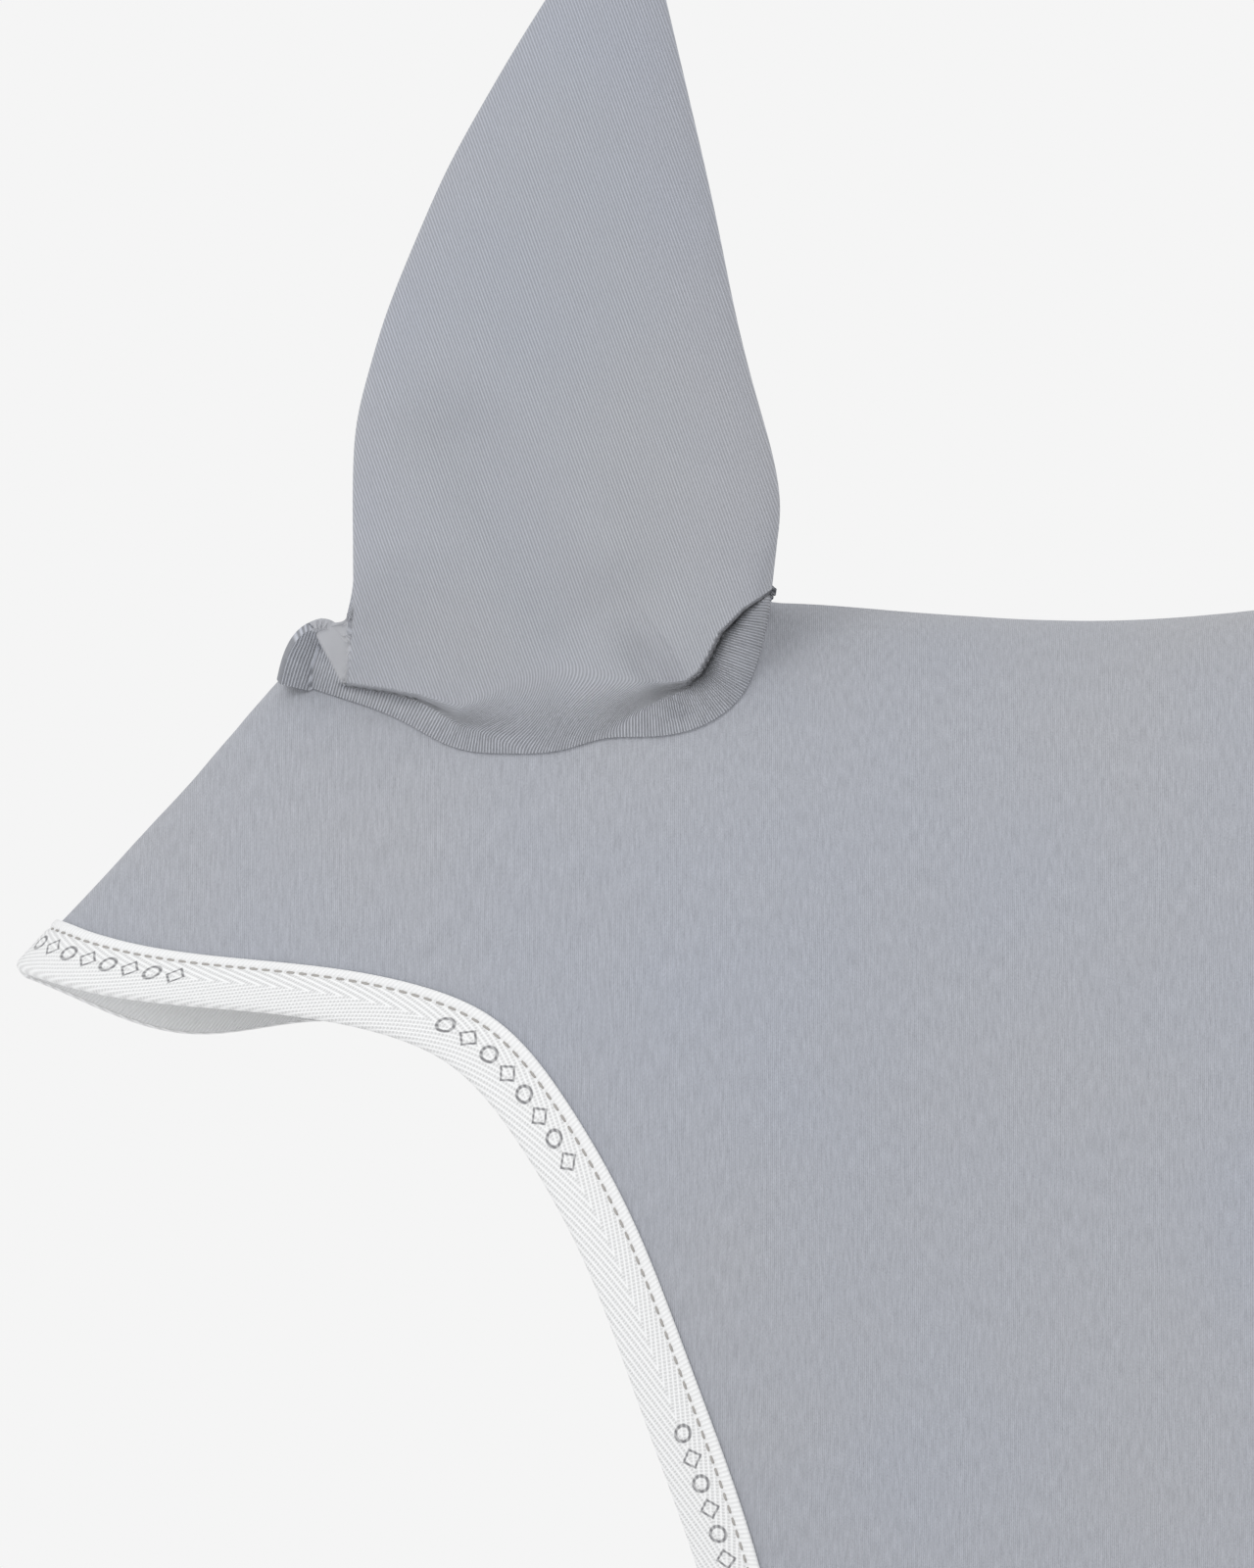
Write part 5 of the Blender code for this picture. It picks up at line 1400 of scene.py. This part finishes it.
def make_stage():
    """A pale floor well below the cloth, an even pale surround, three broad suns and the camera."""
    s = settings().stage
    scene = bpy.context.scene
    world = bpy.data.worlds.new("studio")
    world.use_nodes = True
    background = world.node_tree.nodes["Background"]
    background.inputs["Color"].default_value = (*s.surround[:3], 1.0)
    background.inputs["Strength"].default_value = 1.0
    scene.world = world
    scene.view_settings.view_transform = "Standard"
    add_sun("key_light", (0.48, 0.68, -0.58), s.key, 25.0)
    add_sun("side_light", (-0.8, 0.35, -0.25), s.key * 0.15, 50.0)
    add_sun("front_fill", (0.06, 0.99, 0.14), s.fill, 20.0)
    steps = np.linspace(-FLOOR_HALF, FLOOR_HALF, 5)
    x, y = np.meshgrid(steps + FLOOR_MIDDLE, steps, indexing="ij")
    points = np.stack([x, y, np.full_like(x, CAD_BOUNDS[0][2] - FLOOR_GAP)], -1)
    up = np.zeros_like(points)
    up[..., 2] = 1.0
    floor = thin_sheet("stage_floor", points, up, -0.02, 0.0, points[..., :2],
                       made_finish("stage_floor", floor_finish, tuple(s.floor)))
    floor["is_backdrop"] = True
    camera = bpy.data.cameras.new("camera")
    camera.lens = s.lens
    camera.sensor_width = SENSOR_WIDTH
    camera.clip_end = 200.0
    eye = bpy.data.objects.new("camera", camera)
    scene.collection.objects.link(eye)
    eye.location = (VIEW_MIDDLE[0], VIEW_PLANE - VIEW_HEIGHT * s.lens / SENSOR_WIDTH, VIEW_MIDDLE[1])
    eye.rotation_euler = (math.pi / 2, 0.0, 0.0)
    scene.camera = eye


# ---------------------------------------------------------------- settings

def colour_setting(name, description, default):
    """A colour property."""
    return bpy.props.FloatVectorProperty(name=name, description=description, default=default, size=3,
                                         min=0.0, max=1.0, subtype="COLOR")


def length_setting(name, description, default, low, high):
    """A length property in metres, with its least and greatest value."""
    return bpy.props.FloatProperty(name=name, description=description, default=default, min=low, max=high,
                                   unit="LENGTH", precision=5)


class ClothSettings(bpy.types.PropertyGroup):
    """The stretch cloth of the body, hood and ear covers."""

    colour: colour_setting("Cloth colour", "Base colour of the stretch cloth", (0.340, 0.354, 0.394))
    hood_pitch: length_setting("Hood rib pitch", "Distance between ribs of the body cloth", 0.0005, 0.0003,
                               0.003)
    rib_pitch: length_setting("Ear rib pitch", "Distance between ribs of the ear cloth", 0.00078, 0.0003,
                              0.003)
    crease_depth: bpy.props.FloatProperty(name="Crease depth", default=1.0, min=0.0, max=1.2,
                                          description="Strength of the creases at the ears")


class TapeSettings(bpy.types.PropertyGroup):
    """The woven tape folded over every edge."""

    colour: colour_setting("Tape colour", "Base colour of the woven tape", (0.785, 0.79, 0.795))
    motif: colour_setting("Motif colour", "Colour of the woven rings and lozenges", (0.20, 0.20, 0.21))
    thread: colour_setting("Thread colour", "Colour of the sewing thread", (0.36, 0.345, 0.33))
    row_pitch: length_setting("Row pitch", "Distance between rows of the herringbone", 0.0013, 0.0005, 0.004)
    dot_pitch: length_setting("Dot pitch", "Distance between dots in a row", 0.00087, 0.0004, 0.004)
    stitch_pitch: length_setting("Stitch pitch", "Distance from stitch to stitch", 0.0034, 0.002, 0.01)


class ZipSettings(bpy.types.PropertyGroup):
    """The front zip."""

    tape: colour_setting("Zip tape colour", "Base colour of the zip tape", (0.30, 0.31, 0.34))
    teeth: colour_setting("Teeth colour", "Base colour of the zip teeth", (0.42, 0.43, 0.46))
    pitch: length_setting("Tooth pitch", "Distance from tooth to tooth", 0.0025, 0.0018, 0.005)


class HardwareSettings(bpy.types.PropertyGroup):
    """Straps, plates and the pad."""

    webbing: colour_setting("Webbing colour", "Base colour of the belly straps", (0.22, 0.23, 0.26))
    strap_width: length_setting("Strap width", "Width of the belly straps", 0.050, 0.02, 0.08)
    steel: colour_setting("Steel colour", "Colour of the strap plates and slides", (0.62, 0.62, 0.63))
    zinc: colour_setting("Zinc colour", "Colour of the zip's metal parts", (0.55, 0.56, 0.58))
    fleece: colour_setting("Fleece colour", "Base colour of the withers pad", (0.78, 0.77, 0.74))


class StageSettings(bpy.types.PropertyGroup):
    """Floor, light and camera."""

    surround: colour_setting("Surround", "Colour of the even surround", (0.913, 0.913, 0.913))
    floor: colour_setting("Floor", "Colour of the floor", (0.88, 0.88, 0.88))
    key: bpy.props.FloatProperty(name="Key light", description="Strength of the broad key light",
                                 default=0.62, min=0.0, max=10.0)
    fill: bpy.props.FloatProperty(name="Front fill", description="Strength of the light from the front",
                                  default=0.50, min=0.0, max=10.0)
    lens: bpy.props.FloatProperty(name="Lens", description="Focal length in millimetres", default=300.0,
                                  min=50.0, max=600.0)


class FlySheetSettings(bpy.types.PropertyGroup):
    """All the settings of the fly sheet."""

    cloth: bpy.props.PointerProperty(type=ClothSettings)
    tape: bpy.props.PointerProperty(type=TapeSettings)
    zip: bpy.props.PointerProperty(type=ZipSettings)
    hardware: bpy.props.PointerProperty(type=HardwareSettings)
    stage: bpy.props.PointerProperty(type=StageSettings)


# ---------------------------------------------------------------- operators

class FLYSHEET_OT_stage(bpy.types.Operator):
    """Add the floor, the light and the camera"""

    bl_idname = "fly_sheet.stage"
    bl_label = "Stage"

    def execute(self, context):
        make_stage()
        return {"FINISHED"}


class FLYSHEET_OT_bindings(bpy.types.Operator):
    """Fold woven tape over the face opening, the hems and the back edge, and stitch it down"""

    bl_idname = "fly_sheet.bindings"
    bl_label = "Edge tapes"

    def execute(self, context):
        pitch = settings().tape.stitch_pitch
        down = np.linspace(1, 0, 330)
        near, outline = bound_sections("face", down, -1)
        off, _ = bound_sections("face", down[::-1], 1)
        make_binding("face_binding_tape", "face_binding", [near, off[1:]], outline)
        lines = [tape_seam("face", down, side) for side in (-1, 1)]
        make_stitches("face_binding_stitching", lines, pitch, pitch * 0.68, 0.00034)
        down = np.linspace(1, 0, 200)
        near, outline = bound_sections("back", down, -1)
        off, _ = bound_sections("back", down[::-1], 1)
        make_binding("back_binding_tape", "back_binding", [near, off[1:]], outline)
        lines = [tape_seam("back", down, side) for side in (-1, 1)]
        back_end = edge_reach("back", [1.0], np.array((BAND + 2 * GAP,)))[0][0, 0]
        runs = np.linspace(HEM_START, back_end, 420)
        for side, word in WORDS.items():
            hem, outline = bound_sections("hem", runs, side)
            make_binding(f"{word}_hem_binding_tape", f"{word}_hem_binding", [hem], outline)
            lines.append(tape_seam("hem", runs, side))
        make_stitches("hem_stitching", lines, pitch * 1.15, pitch * 0.75, 0.00026)
        return {"FINISHED"}


class FLYSHEET_OT_cloth(bpy.types.Operator):
    """Lay the four cuts of cloth of the hood, neck and body"""

    bl_idname = "fly_sheet.cloth"
    bl_label = "Body cloth"

    def execute(self, context):
        for side, word in WORDS.items():
            neck = make_panel(f"{word}_neck_cloth", f"{word}_neck_panel", 0.0, NECK_SEAM - SEAM_GAP / 2,
                              side, 150, knit(), EAR_OPENING)
            body = make_panel(f"{word}_body_cloth", f"{word}_body_panel", NECK_SEAM + SEAM_GAP / 2,
                              TOP_LENGTH, side, 130, knit())
        return {"FINISHED"}


class FLYSHEET_OT_topline(bpy.types.Operator):
    """Sew the tape under the topline seam and the fleece pad at the withers"""

    bl_idname = "fly_sheet.topline"
    bl_label = "Topline tape and pad"

    def execute(self, context):
        runs = np.linspace(BAND + 2 * GAP, TOP_LENGTH - BAND - 2 * GAP, 420)
        points, normals = over_the_top(runs, BAND, 8)
        layer("crest_tape", ["crest_seam_tape"], points, normals, -GAP - TAPE, -GAP, tape(), "root",
              "binding_tape")
        make_withers_pad()
        return {"FINISHED"}


class FLYSHEET_OT_ears(bpy.types.Operator):
    """Sew the two ear covers into the hood"""

    bl_idname = "fly_sheet.ears"
    bl_label = "Ear covers"

    def execute(self, context):
        for side in (-1, 1):
            cover = make_cover(side, 224 if side < 0 else 150)
        return {"FINISHED"}


class FLYSHEET_OT_zip(bpy.types.Operator):
    """Set the zip's tapes, teeth and guard, and finish its metal parts"""

    bl_idname = "fly_sheet.zip"
    bl_label = "Front zip"

    def execute(self, context):
        for side in (-1, 1):
            make_zip_tape(side)
            make_zip_teeth(side)
        make_zip_guard()
        repaint(("zip_slider", "zip_pull", "left_zip_top_stop", "right_zip_top_stop", "zip_bottom_stop"),
                cast_metal())
        return {"FINISHED"}


class FLYSHEET_OT_straps(bpy.types.Operator):
    """Hang the two belly straps and finish their plates, hooks and slides"""

    bl_idname = "fly_sheet.straps"
    bl_label = "Belly straps"

    def execute(self, context):
        width = settings().hardware.strap_width
        for place in ("front", "rear"):
            for side, word in WORDS.items():
                make_belly_strap(place, side, width)
                repaint((f"{word}_{place}_strap_slide",), metal())
            repaint((f"{place}_strap_eye", f"{place}_strap_hook"), metal())
        return {"FINISHED"}


class FLYSHEET_OT_flap(bpy.types.Operator):
    """Hang the tail flap from the back edge"""

    bl_idname = "fly_sheet.flap"
    bl_label = "Tail flap"

    def execute(self, context):
        make_tail_flap()
        return {"FINISHED"}


class FLYSHEET_PT_panel(bpy.types.Panel):
    """Lists the pieces of the fly sheet and their settings"""

    bl_label = "Fly sheet"
    bl_idname = "FLYSHEET_PT_panel"
    bl_space_type = "VIEW_3D"
    bl_region_type = "UI"
    bl_category = "Fly sheet"

    def draw(self, context):
        for operator in OPERATORS:
            self.layout.operator(operator.bl_idname)
        for group in (settings().cloth, settings().tape, settings().zip, settings().hardware,
                      settings().stage):
            box = self.layout.box()
            for key in group.__annotations__:
                box.prop(group, key)


GROUPS = (ClothSettings, TapeSettings, ZipSettings, HardwareSettings, StageSettings, FlySheetSettings)
OPERATORS = (FLYSHEET_OT_stage, FLYSHEET_OT_bindings, FLYSHEET_OT_topline, FLYSHEET_OT_cloth,
             FLYSHEET_OT_ears, FLYSHEET_OT_zip, FLYSHEET_OT_straps, FLYSHEET_OT_flap)


def register():
    """Registers settings, operators and panel."""
    for group in (*GROUPS, *OPERATORS, FLYSHEET_PT_panel):
        bpy.utils.register_class(group)
    bpy.types.Scene.fly_sheet = bpy.props.PointerProperty(type=FlySheetSettings)


def unregister():
    """Takes back what register did."""
    del bpy.types.Scene.fly_sheet
    for group in (FLYSHEET_PT_panel, *reversed(OPERATORS), *reversed(GROUPS)):
        bpy.utils.unregister_class(group)


def plain(bounds):
    """Bounds as plain lists of numbers."""
    return [[float(v) for v in corner] for corner in bounds]


def main():
    """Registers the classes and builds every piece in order."""
    register()
    for operator in OPERATORS:
        group, name = operator.bl_idname.split(".")
        getattr(getattr(bpy.ops, group), name)()
    {"cad": plain(CAD_BOUNDS), "visual": plain(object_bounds())}


if __name__ == "__main__":
    main()
